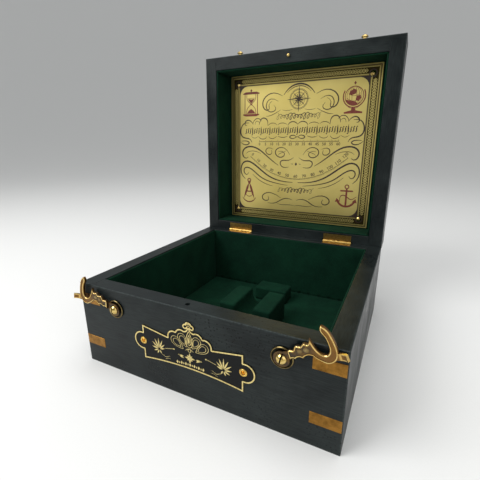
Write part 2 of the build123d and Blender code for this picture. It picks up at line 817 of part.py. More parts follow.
for label, side, rest_angle in (("left", -1, left_hook_rest_angle), ("right", 1, right_hook_rest_angle)):
    escutcheon(f"{label}_escutcheon", side)
    pivot_screw(f"{label}_pivot_screw", side)
    hook(f"{label}_hook", side, rest_angle)
    catch_stud(f"{label}_catch_stud", side, lid_swing)
    strip(f"upper_{label}_strip", side, upper_strip_z)
    strip(f"lower_{label}_strip", side, lower_strip_z)

nameplate("nameplate")
nameplate_eyelets("nameplate_eyelets")
nameplate_pins("nameplate_pins")

print(f"hook turn to shut: right {90 - claw_angle - right_hook_rest_angle:.2f}, "
      f"left {90 - claw_angle - left_hook_rest_angle:.2f} degrees; stud at z {stud_z:.1f}")
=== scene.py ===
"""Dresses a packed instrument box: black lacquer, velvet, cast latches and engraved brass."""

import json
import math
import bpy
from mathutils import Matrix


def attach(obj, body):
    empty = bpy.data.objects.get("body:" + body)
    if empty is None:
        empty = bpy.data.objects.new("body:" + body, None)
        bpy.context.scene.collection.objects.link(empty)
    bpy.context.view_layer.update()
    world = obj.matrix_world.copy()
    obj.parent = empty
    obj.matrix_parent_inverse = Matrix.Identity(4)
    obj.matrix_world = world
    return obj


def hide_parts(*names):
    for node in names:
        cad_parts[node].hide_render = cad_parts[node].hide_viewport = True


bl_info = {
    "name": "Instrument Box",
    "version": (1, 0, 0),
    "blender": (4, 5, 0),
    "location": "View3D > Sidebar > Instrument Box",
    "description": "Dresses a packed instrument box with lacquer, velvet and engraved brass",
    "category": "Object",
}

import bmesh
import bpy
from bpy.props import (
    FloatProperty, FloatVectorProperty, IntProperty, PointerProperty, StringProperty,
)
from mathutils import Matrix, Vector, noise

MM = 0.001
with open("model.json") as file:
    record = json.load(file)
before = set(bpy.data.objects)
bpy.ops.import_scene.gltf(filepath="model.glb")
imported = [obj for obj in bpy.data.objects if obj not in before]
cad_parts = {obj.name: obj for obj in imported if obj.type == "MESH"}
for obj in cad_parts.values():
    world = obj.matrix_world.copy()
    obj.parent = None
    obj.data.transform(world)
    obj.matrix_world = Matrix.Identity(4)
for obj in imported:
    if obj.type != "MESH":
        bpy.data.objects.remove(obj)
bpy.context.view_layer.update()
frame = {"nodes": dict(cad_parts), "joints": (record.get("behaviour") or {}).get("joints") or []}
NODES = frame["nodes"]
LID_JOINT = next(joint for joint in frame["joints"] if joint["name"] == "lid_hinge")
HINGE_AXIS = Vector(LID_JOINT["pos_m"])
# Takes a place in the shut box to the lid's place at rest, where it stands open.
LID_OPEN = (
    Matrix.Translation(HINGE_AXIS)
    @ Matrix.Rotation(-math.radians(LID_JOINT["range_deg"][1]), 4, "X")
    @ Matrix.Translation(-HINGE_AXIS)
)
# How far each hook's arm is raised at rest, in degrees.
REST_TILT = {"left_hook": 9.0, "right_hook": 23.0}


# ---- what a user would change ------------------------------------------------------------
class BoxFinish(bpy.types.PropertyGroup):
    """Colours of the box's finishes, as sRGB hex, and the pile of its velvet."""

    lacquer: StringProperty(
        name="Lacquer", description="Black lacquer on the wood", default="#0C1112"
    )
    lacquer_wear: StringProperty(
        name="Lacquer wear", description="Grey where the lacquer is rubbed", default="#3C4443"
    )
    velvet: StringProperty(name="Velvet", description="Cloth of the lining", default="#041C13")
    velvet_nap: StringProperty(
        name="Velvet nap", description="Tint at the edge of the pile", default="#164630"
    )
    bright_brass: StringProperty(
        name="Bright brass", description="Polished screws, pins and raised lines", default="#DDC27C"
    )
    dark_brass: StringProperty(
        name="Dark brass", description="Darkened hollows of the castings", default="#6A5334"
    )
    strip_brass: StringProperty(name="Strip brass", description="Corner strips", default="#9E7233")
    plate_brass: StringProperty(name="Plate brass", description="Lid plate", default="#E2CF80")
    ink: StringProperty(
        name="Engraving", description="Dark wax in the engraving", default="#2B1A10"
    )
    red_ink: StringProperty(
        name="Pictures", description="Red-brown wax in the corner pictures", default="#6B2A1B"
    )
    gold_leaf: StringProperty(name="Gold leaf", description="Nameplate ornament", default="#F0DC98")
    pile_height: FloatProperty(
        name="Pile", description="Unevenness of the velvet", default=0.12 * MM, min=0.0,
        unit="LENGTH", precision=5,
    )


class PlateSizes(bpy.types.PropertyGroup):
    """Sizes of the plates and of what is engraved on them, in millimetres on the plate."""

    face_height: FloatProperty(
        name="Plate face", description="Lid plate's face above the floor, in the shut box",
        default=125.8,
    )
    half_width: FloatProperty(
        name="Half width", description="Half the lid plate's width", default=109.0
    )
    half_depth: FloatProperty(
        name="Half depth", description="Half the lid plate's depth", default=108.0
    )
    border: FloatProperty(
        name="Border", description="Width of the lid plate's border", default=15.5
    )
    lace_inset: FloatProperty(name="Lace", description="Lace's middle inside the edge", default=8.6)
    lace_width: FloatProperty(
        name="Lace width", description="Width of the lace's ground", default=8.6
    )
    line: FloatProperty(name="Line", description="Width of a fine engraved line", default=0.6)
    ink_height: FloatProperty(
        name="Ink", description="How far filled lines stand proud", default=0.06
    )
    waves: IntProperty(
        name="Waves", description="Waves along one side of the lace", default=26, min=4
    )
    eyelet_height: FloatProperty(
        name="Eyelet line", description="Nameplate eyelets above the floor", default=47.0
    )
    gilding_height: FloatProperty(
        name="Gilding", description="How far the gilded ornament stands up from its field",
        default=0.28,
    )


class StageSettings(bpy.types.PropertyGroup):
    """Floor, lights and camera."""

    floor: StringProperty(name="Floor", description="Floor and backdrop", default="#E9E9E7")
    camera_place: FloatVectorProperty(
        name="Camera", description="Place of the camera", default=(0.15197, -0.33139, 0.227285),
        subtype="TRANSLATION", precision=5,
    )
    lens: FloatProperty(
        name="Lens", description="Focal length on a 36 mm sensor", default=24.718, min=1.0,
        unit="CAMERA",
    )
    daylight: FloatProperty(
        name="Daylight", description="Strength of the light from all round", default=0.62, min=0.0
    )


# ---- materials -----------------------------------------------------------------------------
def linear(hex_colour):
    """sRGB hex as a linear RGBA colour."""
    channels = [int(hex_colour.lstrip("#")[i:i + 2], 16) / 255 for i in (0, 2, 4)]
    return [c / 12.92 if c <= 0.04045 else ((c + 0.055) / 1.055) ** 2.4 for c in channels] + [1.0]


def add(tree, kind, inputs=None, out=None, **settings):
    """Adds a node with its settings and links, and returns one of its outputs, or the node.

    An input is a value, a colour as sRGB hex or another node's output, and is named or numbered.
    """
    node = tree.nodes.new("ShaderNode" + kind)
    for name, value in settings.items():
        setattr(node, name, value)
    for name, value in (inputs or {}).items():
        if isinstance(value, bpy.types.NodeSocket):
            tree.links.new(value, node.inputs[name])
        else:
            node.inputs[name].default_value = linear(value) if isinstance(value, str) else value
    return node if out is None else node.outputs[out]


def begin(name, place=None, side=1):
    """An empty material: (material, tree, object coordinates), in a place's own frame if given."""
    made = bpy.data.materials.new(name)
    made.use_nodes = True
    tree = made.node_tree
    tree.nodes.clear()
    coordinates = add(tree, "TexCoord", out="Object")
    if place is not None:
        coordinates = add(tree, "Mapping", {
            "Vector": coordinates, "Location": place.translation, "Rotation": place.to_euler(),
            "Scale": (side, 1, 1),
        }, "Vector", vector_type="TEXTURE")
    return made, tree, coordinates


def outer_edges(tree, coordinates, low, high):
    """Share that rises to 1 at a box's edges.

    It starts where a place is within 1.6 mm of two outer faces, and is full at 0.2 mm.
    """
    apart = add(tree, "SeparateXYZ", {"Vector": coordinates})
    near = []
    for axis, lowest, highest in zip("XYZ", low, high):
        middle, half = (lowest + highest) / 2, (highest - lowest) / 2
        off = add(tree, "Math", {0: apart.outputs[axis], 1: middle}, 0, operation="SUBTRACT")
        off = add(tree, "Math", {0: off}, 0, operation="ABSOLUTE")
        near.append(add(tree, "MapRange", {
            "Value": off, "From Min": half - 1.6 * MM, "From Max": half - 0.2 * MM,
        }, "Result"))
    edge = add(tree, "Math", {0: near[0], 1: near[1]}, 0, operation="MULTIPLY")
    for one, other in ((1, 2), (0, 2)):
        pair = add(tree, "Math", {0: near[one], 1: near[other]}, 0, operation="MULTIPLY")
        edge = add(tree, "Math", {0: edge, 1: pair}, 0, operation="MAXIMUM")
    return edge


def black_lacquer(name, along, low, high, place, thin_at):
    """Sprayed black lacquer on close-grained wood: satin black, faint grain, rubbed grey edges.

    Low and high are the outer corners of the boards that it covers, and along is their grain.
    Thin_at is the middle of a place where the lacquer is thin and every pore shows, or None.
    """
    finish = bpy.context.scene.box_finish
    made, tree, coordinates = begin(name, place)
    lengthwise = [0.07 if axis == along else 1.0 for axis in "xyz"]
    drawn_out = add(tree, "Mapping", {"Vector": coordinates, "Scale": lengthwise}, "Vector")
    # The grain's pores are about 0.2 mm wide and are drawn at 0.9 mm, so that they show. Clouds
    # are 55 mm wide, and scuffs 2.6 mm.
    grain, clouds, scuffs = (
        add(tree, "TexNoise", {
            "Vector": vector, "Scale": 1 / (width * MM), "Detail": detail, "Roughness": rough,
        }, "Fac") for vector, width, detail, rough in (
            (drawn_out, 0.9, 4.0, 0.6), (coordinates, 55, 3.0, 0.5), (coordinates, 2.6, 5.0, 0.75),
        )
    )
    # Pits are half-filled pores about 1 mm wide. They come in patches, and half of them are open.
    pores = add(tree, "TexVoronoi", {"Vector": coordinates, "Scale": 1 / (2.6 * MM)})
    masks = {}
    for mask, source, start, end, first, last in (
        ("pits", pores.outputs["Distance"], 0.16, 0.34, 1.0, 0.0),
        ("opened", pores.outputs["Color"], 0.4, 0.6, 0.0, 1.0),
        ("patch", clouds, 0.5, 0.62, 0.0, 0.7),
        ("rubbed", scuffs, 0.42, 0.62, 0.1, 0.9),
        ("specks", scuffs, 0.64, 0.76, 0.0, 0.45),
        ("grain", grain, 0.35, 0.7, 0.0, 0.24),
        # The cloudy patches here are painted paler grey, as painted sheen on the lacquer.
        ("painted_sheen", clouds, 0.38, 0.66, 0.0, 0.24),
        ("roughness", clouds, 0.3, 0.7, 0.24, 0.48),
    ):
        masks[mask] = add(tree, "MapRange", {
            "Value": source, "From Min": start, "From Max": end, "To Min": first, "To Max": last,
        }, "Result")
    pits = add(tree, "Math", {0: masks["pits"], 1: masks["opened"]}, 0, operation="MULTIPLY")
    patch = masks["patch"]
    if thin_at is not None:
        away = add(tree, "VectorMath", {0: coordinates, 1: thin_at}, "Value", operation="DISTANCE")
        thin = add(tree, "MapRange", {
            "Value": away, "From Min": 24 * MM, "From Max": 48 * MM, "To Min": 1.0, "To Max": 0.0,
        }, "Result")
        patch = add(tree, "Math", {0: patch, 1: thin}, 0, operation="MAXIMUM")
    pits = add(tree, "Math", {0: pits, 1: patch}, 0, operation="MULTIPLY")
    edge = outer_edges(tree, coordinates, low, high)
    edge = add(tree, "Math", {0: edge, 1: masks["rubbed"]}, 0, operation="MULTIPLY")
    wear = add(tree, "Math", {0: edge, 1: masks["specks"]}, 0, operation="MAXIMUM")
    # Tone adds the painted sheen of the cloudy patches to the grain's real streaks.
    tone = add(tree, "Math", {0: masks["grain"], 1: masks["painted_sheen"]}, 0, operation="ADD")
    colour = finish.lacquer
    # The open pits are painted near black (#020303), as painted shade inside them.
    for share, over in (
        (tone, finish.lacquer_wear), (pits, "#020303"), (wear, finish.lacquer_wear),
    ):
        colour = add(tree, "Mix", {0: share, 6: colour, 7: over}, 2, data_type="RGBA")
    grain_bump = add(tree, "Bump", {
        "Height": grain, "Distance": 0.06 * MM, "Strength": 0.5,
    }, "Normal")
    pit_bump = add(tree, "Bump", {
        "Height": pits, "Distance": 0.12 * MM, "Strength": 0.6, "Normal": grain_bump,
    }, "Normal", invert=True)
    normal = add(tree, "Bump", {
        "Height": scuffs, "Distance": 0.04 * MM, "Strength": 0.35, "Normal": pit_bump,
    }, "Normal")
    surface = add(tree, "BsdfPrincipled", {
        "Base Color": colour, "Roughness": masks["roughness"], "Normal": normal,
        "Specular IOR Level": 0.16,
    }, "BSDF")
    add(tree, "OutputMaterial", {"Surface": surface})
    return made


def green_velvet():
    """Cotton velvet glued on card: no gloss, a paler edge to the pile and brushed patches."""
    finish = bpy.context.scene.box_finish
    made, tree, coordinates = begin("green_velvet")
    # Pile tufts are about 0.3 mm and are drawn at 0.7 mm, so that they show.
    pile = add(tree, "TexNoise", {
        "Vector": coordinates, "Scale": 1 / (0.7 * MM), "Detail": 2.0, "Roughness": 0.6,
    }, "Fac")
    brushed = add(tree, "TexNoise", {
        "Vector": coordinates, "Scale": 1 / (24 * MM), "Detail": 3.0, "Roughness": 0.55,
    }, "Fac")
    tufts = add(tree, "MapRange", {
        "Value": pile, "From Min": 0.35, "From Max": 0.7, "To Max": 0.35,
    }, "Result")
    strokes = add(tree, "MapRange", {
        "Value": brushed, "From Min": 0.35, "From Max": 0.7, "To Max": 0.22,
    }, "Result")
    tone = add(tree, "Math", {0: tufts, 1: strokes}, 0, operation="ADD")
    colour = add(tree, "Mix", {
        0: tone, 6: finish.velvet, 7: finish.velvet_nap,
    }, 2, data_type="RGBA")
    normal = add(tree, "Bump", {"Height": pile, "Distance": 0.25 * MM, "Strength": 0.6}, "Normal")
    surface = add(tree, "BsdfPrincipled", {
        "Base Color": colour, "Normal": normal, "Roughness": 0.95, "Specular IOR Level": 0.1,
        "Sheen Weight": 0.18, "Sheen Roughness": 0.4, "Sheen Tint": finish.velvet_nap,
    }, "BSDF")
    add(tree, "OutputMaterial", {"Surface": surface})
    return made


def worked_brass(name, bright, dull, rough, stretch, patch=3.2 * MM, mark=0.4 * MM):
    """Turned or rolled brass: fine tool marks, scratches and brown tarnish in patches.

    Stretch draws the marks out along an axis. Patch and mark are the widths of a patch of tarnish
    and of a mark.
    """
    made, tree, coordinates = begin(name)
    drawn_out = add(tree, "Mapping", {"Vector": coordinates, "Scale": stretch}, "Vector")
    marks = add(tree, "TexNoise", {"Vector": drawn_out, "Scale": 1 / mark, "Detail": 3.0}, "Fac")
    tarnish = add(tree, "TexNoise", {
        "Vector": coordinates, "Scale": 1 / patch, "Detail": 5.0, "Roughness": 0.65,
    }, "Fac")
    brown = add(tree, "MapRange", {
        "Value": tarnish, "From Min": 0.42, "From Max": 0.68, "To Max": 0.8,
    }, "Result")
    streaks = add(tree, "MapRange", {
        "Value": marks, "From Min": 0.52, "From Max": 0.72, "To Max": 0.5,
    }, "Result")
    share = add(tree, "Math", {0: brown, 1: streaks}, 0, operation="MAXIMUM")
    colour = add(tree, "Mix", {0: share, 6: bright, 7: dull}, 2, data_type="RGBA")
    roughness = add(tree, "MapRange", {
        "Value": tarnish, "From Min": 0.3, "From Max": 0.7, "To Min": rough, "To Max": rough + 0.16,
    }, "Result")
    normal = add(tree, "Bump", {"Height": marks, "Distance": 0.03 * MM, "Strength": 0.5}, "Normal")
    surface = add(tree, "BsdfPrincipled", {
        "Base Color": colour, "Roughness": roughness, "Normal": normal, "Metallic": 1.0,
    }, "BSDF")
    add(tree, "OutputMaterial", {"Surface": surface})
    return made


def slotted_brass(name, place, half_slot):
    """Polished dome screw: mirror-bright brass round a slot that is painted dark, as painted shade.
    """
    finish = bpy.context.scene.box_finish
    made, tree, coordinates = begin(name, place)
    across = add(tree, "SeparateXYZ", {"Vector": coordinates}, "Z")
    across = add(tree, "Math", {0: across}, 0, operation="ABSOLUTE")
    slot = add(tree, "Math", {0: across, 1: half_slot}, 0, operation="LESS_THAN")
    tarnish = add(tree, "TexNoise", {
        "Vector": coordinates, "Scale": 1 / (2.4 * MM), "Detail": 4.0, "Roughness": 0.6,
    }, "Fac")
    brown = add(tree, "MapRange", {
        "Value": tarnish, "From Min": 0.45, "From Max": 0.65, "To Max": 0.7,
    }, "Result")
    metal = add(tree, "Mix", {0: brown, 6: finish.bright_brass, 7: "#A98A3A"}, 2, data_type="RGBA")
    # The slot is painted near black (#1E160B), as painted shade inside it.
    colour = add(tree, "Mix", {0: slot, 6: metal, 7: "#1E160B"}, 2, data_type="RGBA")
    rough = add(tree, "MapRange", {"Value": slot, "To Min": 0.14, "To Max": 0.6}, "Result")
    surface = add(tree, "BsdfPrincipled", {
        "Base Color": colour, "Roughness": rough, "Metallic": 1.0,
    }, "BSDF")
    add(tree, "OutputMaterial", {"Surface": surface})
    return made


def cast_brass(name, raised_y, sunk_y, tones, tab=None, warm=None, place=None, side=1):
    """Sand-cast brass: bright on its raised lines, brown and grainy between them.

    Tones are two for the raised lines and two for the hollows, which start at 0.3 of the depth.
    A tab is the (start, end, lower, upper) edge of a dark face that stands out beyond the arm.
    Warm is (start, full, colour): a tint of the hollows, towards the claw.
    """
    made, tree, coordinates = begin(name, place, side)
    apart = add(tree, "SeparateXYZ", {"Vector": coordinates})
    depth = raised_y - sunk_y
    sunk = add(tree, "MapRange", {
        "Value": apart.outputs["Y"], "From Min": raised_y - 0.3 * depth,
        "From Max": raised_y - 0.85 * depth,
    }, "Result")
    if tab is not None:
        start, end, low, high = tab
        inside = add(tree, "Math", {0: apart.outputs["X"], 1: start}, 0, operation="GREATER_THAN")
        for axis, bound, test in (("X", end, "LESS_THAN"), ("Z", low, "GREATER_THAN"),
                                  ("Z", high, "LESS_THAN")):
            step = add(tree, "Math", {0: apart.outputs[axis], 1: bound}, 0, operation=test)
            inside = add(tree, "Math", {0: inside, 1: step}, 0, operation="MULTIPLY")
        sunk = add(tree, "Math", {0: sunk, 1: inside}, 0, operation="MAXIMUM")
    casting = add(tree, "TexNoise", {
        "Vector": coordinates, "Scale": 1 / (1.0 * MM), "Detail": 4.0, "Roughness": 0.65,
    }, "Fac")
    patina = add(tree, "TexNoise", {
        "Vector": coordinates, "Scale": 1 / (4.5 * MM), "Detail": 3.0,
    }, "Fac")
    patches = add(tree, "MapRange", {"Value": patina, "From Min": 0.38, "From Max": 0.62}, "Result")
    bright, dark = (
        add(tree, "Mix", {0: patches, 6: one, 7: other}, 2, data_type="RGBA")
        for one, other in (tones[:2], tones[2:])
    )
    if warm is not None:
        start, full, tint = warm
        share = add(tree, "MapRange", {
            "Value": apart.outputs["X"], "From Min": start, "From Max": full, "To Max": 0.6,
        }, "Result")
        dark = add(tree, "Mix", {0: share, 6: dark, 7: tint}, 2, data_type="RGBA")
    colour = add(tree, "Mix", {0: sunk, 6: bright, 7: dark}, 2, data_type="RGBA")
    rough = add(tree, "MapRange", {"Value": sunk, "To Min": 0.22, "To Max": 0.38}, "Result")
    normal = add(tree, "Bump", {"Height": casting, "Distance": 0.1 * MM, "Strength": 0.5}, "Normal")
    surface = add(tree, "BsdfPrincipled", {
        "Base Color": colour, "Roughness": rough, "Normal": normal, "Metallic": 1.0,
    }, "BSDF")
    add(tree, "OutputMaterial", {"Surface": surface})
    return made


def etched_plate_brass(sizes):
    """Etched sheet brass under old varnish: olive satin yellow, darker in its border band."""
    finish = bpy.context.scene.box_finish
    made, tree, coordinates = begin("etched_plate_brass", LID_OPEN)
    drawn_out = add(tree, "Mapping", {"Vector": coordinates, "Scale": (0.04, 1, 1)}, "Vector")
    brushing = add(tree, "TexNoise", {
        "Vector": drawn_out, "Scale": 1 / (0.6 * MM), "Detail": 2.0,
    }, "Fac")
    clouds = add(tree, "TexNoise", {
        "Vector": coordinates, "Scale": 1 / (60 * MM), "Detail": 3.0,
    }, "Fac")
    apart = add(tree, "SeparateXYZ", {"Vector": coordinates})
    beyond = []
    for axis, half in (("X", sizes.half_width), ("Y", sizes.half_depth)):
        out = add(tree, "Math", {0: apart.outputs[axis]}, 0, operation="ABSOLUTE")
        beyond.append(add(tree, "Math", {0: out, 1: half * MM}, 0, operation="SUBTRACT"))
    # How far a place is beyond the plate's edge. On the plate it is below zero.
    reach = add(tree, "Math", {0: beyond[0], 1: beyond[1]}, 0, operation="MAXIMUM")
    # The border is darker, and runs from 2 mm inside the edge. Its sides are 0.4 mm soft.
    inner, outer = (
        add(tree, "MapRange", {
            "Value": reach, "From Min": (edge - 0.2) * MM, "From Max": (edge + 0.2) * MM,
            "To Min": first, "To Max": 1.0 - first,
        }, "Result") for edge, first in ((-sizes.border, 0.0), (-2.0, 1.0))
    )
    band = add(tree, "Math", {0: inner, 1: outer}, 0, operation="MULTIPLY")
    # The lace's ground is in the middle of the border.
    ground = add(tree, "Math", {0: reach, 1: sizes.lace_inset * MM}, 0, operation="ADD")
    ground = add(tree, "Math", {0: ground}, 0, operation="ABSOLUTE")
    ground = add(tree, "Math", {0: ground, 1: sizes.lace_width / 2 * MM}, 0, operation="LESS_THAN")
    aged = add(tree, "MapRange", {
        "Value": clouds, "From Min": 0.3, "From Max": 0.7, "To Max": 0.55,
    }, "Result")
    colour = finish.plate_brass
    for share, over in ((aged, "#C6B15E"), (band, "#94854A"), (ground, "#3D3418")):
        colour = add(tree, "Mix", {0: share, 6: colour, 7: over}, 2, data_type="RGBA")
    rough = add(tree, "MapRange", {
        "Value": brushing, "From Min": 0.3, "From Max": 0.7, "To Min": 0.32, "To Max": 0.42,
    }, "Result")
    normal = add(tree, "Bump", {
        "Height": brushing, "Distance": 0.01 * MM, "Strength": 0.4,
    }, "Normal")
    surface = add(tree, "BsdfPrincipled", {
        "Base Color": colour, "Roughness": rough, "Normal": normal, "Metallic": 0.92,
    }, "BSDF")
    add(tree, "OutputMaterial", {"Surface": surface})
    return made


def wax(name, hex_colour, metallic=0.0):
    """Coloured wax or leaf rubbed into a line, slightly uneven."""
    made, tree, coordinates = begin(name)
    uneven = add(tree, "TexNoise", {
        "Vector": coordinates, "Scale": 1 / (1.4 * MM), "Detail": 4.0,
    }, "Fac")
    share = add(tree, "MapRange", {
        "Value": uneven, "From Min": 0.4, "From Max": 0.7, "To Max": 0.7,
    }, "Result")
    # Rubbed leaf is darker, and rubbed wax paler.
    full = linear(hex_colour)
    rubbed = [0.62 * c if metallic else min(1.0, 1.5 * c + 0.01) for c in full[:3]] + [1.0]
    colour = add(tree, "Mix", {0: share, 6: full, 7: rubbed}, 2, data_type="RGBA")
    rough = add(tree, "MapRange", {
        "Value": uneven, "From Min": 0.3, "From Max": 0.7, "To Min": 0.28, "To Max": 0.45,
    }, "Result")
    surface = add(tree, "BsdfPrincipled", {
        "Base Color": colour, "Roughness": rough, "Metallic": metallic,
    }, "BSDF")
    add(tree, "OutputMaterial", {"Surface": surface})
    return made


def gilt_edged_enamel(raised_y, field_y):
    """Black enamel in the sunk field of a plate and gilding on its raised edge."""
    finish = bpy.context.scene.box_finish
    made, tree, coordinates = begin("gilt_edged_enamel")
    depth = raised_y - field_y
    height = add(tree, "SeparateXYZ", {"Vector": coordinates}, "Y")
    field = add(tree, "MapRange", {
        "Value": height, "From Min": raised_y - 0.3 * depth, "From Max": raised_y - 0.6 * depth,
    }, "Result")
    uneven = add(tree, "TexNoise", {
        "Vector": coordinates, "Scale": 1 / (1.6 * MM), "Detail": 4.0,
    }, "Fac")
    rubbed = add(tree, "MapRange", {
        "Value": uneven, "From Min": 0.4, "From Max": 0.72, "To Max": 0.6,
    }, "Result")
    gilt = add(tree, "Mix", {0: rubbed, 6: finish.gold_leaf, 7: "#A98F4E"}, 2, data_type="RGBA")
    colour = add(tree, "Mix", {0: field, 6: gilt, 7: "#07090A"}, 2, data_type="RGBA")
    metal = add(tree, "Math", {0: 1.0, 1: field}, 0, operation="SUBTRACT")
    rough = add(tree, "MapRange", {"Value": uneven, "To Min": 0.26, "To Max": 0.5}, "Result")
    surface = add(tree, "BsdfPrincipled", {
        "Base Color": colour, "Roughness": rough, "Metallic": metal, "Specular IOR Level": 0.16,
    }, "BSDF")
    add(tree, "OutputMaterial", {"Surface": surface})
    return made


def paper_floor():
    """Matt paper floor and backdrop."""
    made, tree, coordinates = begin("paper_floor")
    fibres = add(tree, "TexNoise", {
        "Vector": coordinates, "Scale": 1 / (2 * MM), "Detail": 2.0,
    }, "Fac")
    share = add(tree, "MapRange", {
        "Value": fibres, "From Min": 0.3, "From Max": 0.7, "To Max": 0.05,
    }, "Result")
    colour = add(tree, "Mix", {
        0: share, 6: bpy.context.scene.box_stage.floor, 7: "#CFCFCD",
    }, 2, data_type="RGBA")
    surface = add(tree, "BsdfPrincipled", {"Base Color": colour, "Roughness": 0.9}, "BSDF")
    add(tree, "OutputMaterial", {"Surface": surface})
    return made


def paint(node_name, material):
    """Gives a CAD node a material through its object's slots."""
    target = NODES[node_name]
    if not target.material_slots:
        target.data.materials.append(None)
    for slot in target.material_slots:
        slot.link = "OBJECT"
        slot.material = material


# ---- pieces and drawings -------------------------------------------------------------------
def finish_piece(name, mesh, material, body):
    """Turns a bmesh into a shown piece that rides on a body."""
    data = bpy.data.meshes.new(name)
    mesh.to_mesh(data)
    mesh.free()
    piece = bpy.data.objects.new(name, data)
    bpy.context.scene.collection.objects.link(piece)
    data.materials.append(material)
    data.shade_smooth()
    data.set_sharp_from_angle(angle=math.radians(40))
    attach(piece, body)
    return piece


# A drawing lies on a plate's face, in millimetres across and up. It has strokes, as (points,
# width, kind), and filled outlines.
TAPERED, EVEN, SHARP = "tapered", "even", "sharp"


def outline(*points):
    """The points of a filled shape or a stroke."""
    return [Vector(point) for point in points]


def polar(centre, radius, degrees):
    """Point at an angle round a centre."""
    angle = math.radians(degrees)
    return Vector((centre[0] + radius * math.cos(angle), centre[1] + radius * math.sin(angle)))


def pen(middle, heading, length, bends, width):
    """Pen stroke through a middle point. Bends say how sharply it turns, in degrees per length."""
    halves, steps = [], 36
    for way in (-1, 1):
        place, angle, points = Vector(middle), math.radians(heading), []
        for step in range(steps // 2):
            position = (0.5 + way * (step + 0.5) / steps) * (len(bends) - 1)
            index = min(int(position), len(bends) - 2)
            bend = bends[index] + (bends[index + 1] - bends[index]) * (position - index)
            turn = way * math.radians(bend) / steps
            angle += turn / 2
            place = place + way * length / steps * Vector((math.cos(angle), math.sin(angle)))
            angle += turn / 2
            points.append(place)
        halves.append(points)
    return (halves[0][::-1] + [Vector(middle)] + halves[1], width, TAPERED)


def arc(centre, radius, start, end, width, kind=TAPERED, squeeze=1.0):
    """Arc or ring, squeezed across to make an ellipse."""
    count = max(4, round(abs(end - start) / 15))
    points = [polar((0, 0), radius, start + (end - start) * i / count) for i in range(count + 1)]
    return (outline(*((centre[0] + squeeze * p.x, centre[1] + p.y) for p in points)), width, kind)


def line(start, end, width):
    """Straight line."""
    return (outline(start, end), width, SHARP)


def oblong(half_x, half_y, width):
    """Four lines of a rectangle round the middle."""
    corners = [(-half_x, -half_y), (half_x, -half_y), (half_x, half_y), (-half_x, half_y)]
    return [line(corners[i], corners[(i + 1) % 4], width) for i in range(4)]


def lozenge(centre, half_x, half_y):
    """Diamond shape."""
    x, y = centre
    return outline((x - half_x, y), (x, y - half_y), (x + half_x, y), (x, y + half_y))


def leaf(base, heading, length, width):
    """Pointed leaf shape."""
    side = polar((0, 0), width / 2, heading + 90)
    low, high = polar(base, 0.3 * length, heading), polar(base, 0.62 * length, heading)
    return [Vector(base), low - side, high - 0.9 * side, polar(base, length, heading),
            high + 0.9 * side, low + side]


def mirrored(points):
    """The same points on the other side of the middle."""
    return outline(*((-point[0], point[1]) for point in points))


def both_sides(strokes, shapes):
    """A drawing and its mirror image."""
    return (
        strokes + [(mirrored(points), width, kind) for points, width, kind in strokes],
        shapes + [mirrored(shape) for shape in shapes],
    )


def solid_of(curve):
    """Mesh of a curve or of text."""
    holder = bpy.data.objects.new(curve.name, curve)
    mesh = bpy.data.meshes.new_from_object(holder)
    bpy.data.objects.remove(holder)
    return mesh


def drawn_piece(name, drawing, height, place, material, body):
    """Makes a drawing solid on a plate.

    It holds strokes, filled outlines, and numbers as (text, place, size, turn).
    """
    strokes, shapes, numbers = drawing
    curve = bpy.data.curves.new(name, "CURVE")
    curve.dimensions = "3D"
    curve.twist_mode = "Z_UP"
    curve.bevel_depth = 0.5 * MM
    curve.bevel_resolution = 0
    curve.use_fill_caps = True
    for points, width, kind in strokes:
        spline = curve.splines.new("POLY" if kind == SHARP else "NURBS")
        spline.points.add(len(points) - 1)
        for i, (point, at) in enumerate(zip(spline.points, points)):
            point.co = (at[0] * MM, at[1] * MM, 0.0, 1.0)
            share = i / (len(points) - 1)
            swell = max(0.0, math.sin(math.pi * share)) ** 0.8 if kind == TAPERED else 1.0
            point.radius = width * (0.3 + 0.7 * swell)
        if kind != SHARP:
            spline.order_u = min(4, len(points))
            spline.use_endpoint_u = True
            spline.resolution_u = 3 if kind == TAPERED else 2
    lines = solid_of(curve)
    # A stroke's section is a diamond. It is flattened, so that it stands as high as the shapes.
    lines.transform(Matrix.Diagonal((1, 1, 2 * height, 1)))
    mesh = bmesh.new()
    mesh.from_mesh(lines)
    for shape in shapes:
        face = mesh.faces.new([mesh.verts.new((p[0] * MM, p[1] * MM, 0.0)) for p in shape])
        risen = bmesh.ops.extrude_face_region(mesh, geom=[face])["geom"]
        raised = [item for item in risen if isinstance(item, bmesh.types.BMVert)]
        bmesh.ops.translate(mesh, verts=raised, vec=(0, 0, height * MM))
    for text, at, size, turn in numbers:
        words = bpy.data.curves.new(name, "FONT")
        words.body = text
        words.size = size * MM
        words.extrude = height * MM
        words.offset = 0.012 * size * MM
        words.resolution_u = 3
        words.align_x = "CENTER"
        words.align_y = "CENTER"
        solid = solid_of(words)
        solid.transform(
            Matrix.Translation((at[0] * MM, at[1] * MM, 0))
            @ Matrix.Rotation(math.radians(turn), 4, "Z")
        )
        mesh.from_mesh(solid)
    bmesh.ops.remove_doubles(mesh, verts=mesh.verts, dist=1e-7)
    bmesh.ops.recalc_face_normals(mesh, faces=mesh.faces)
    bmesh.ops.transform(mesh, matrix=place, verts=mesh.verts)
    return finish_piece(name, mesh, material, body)


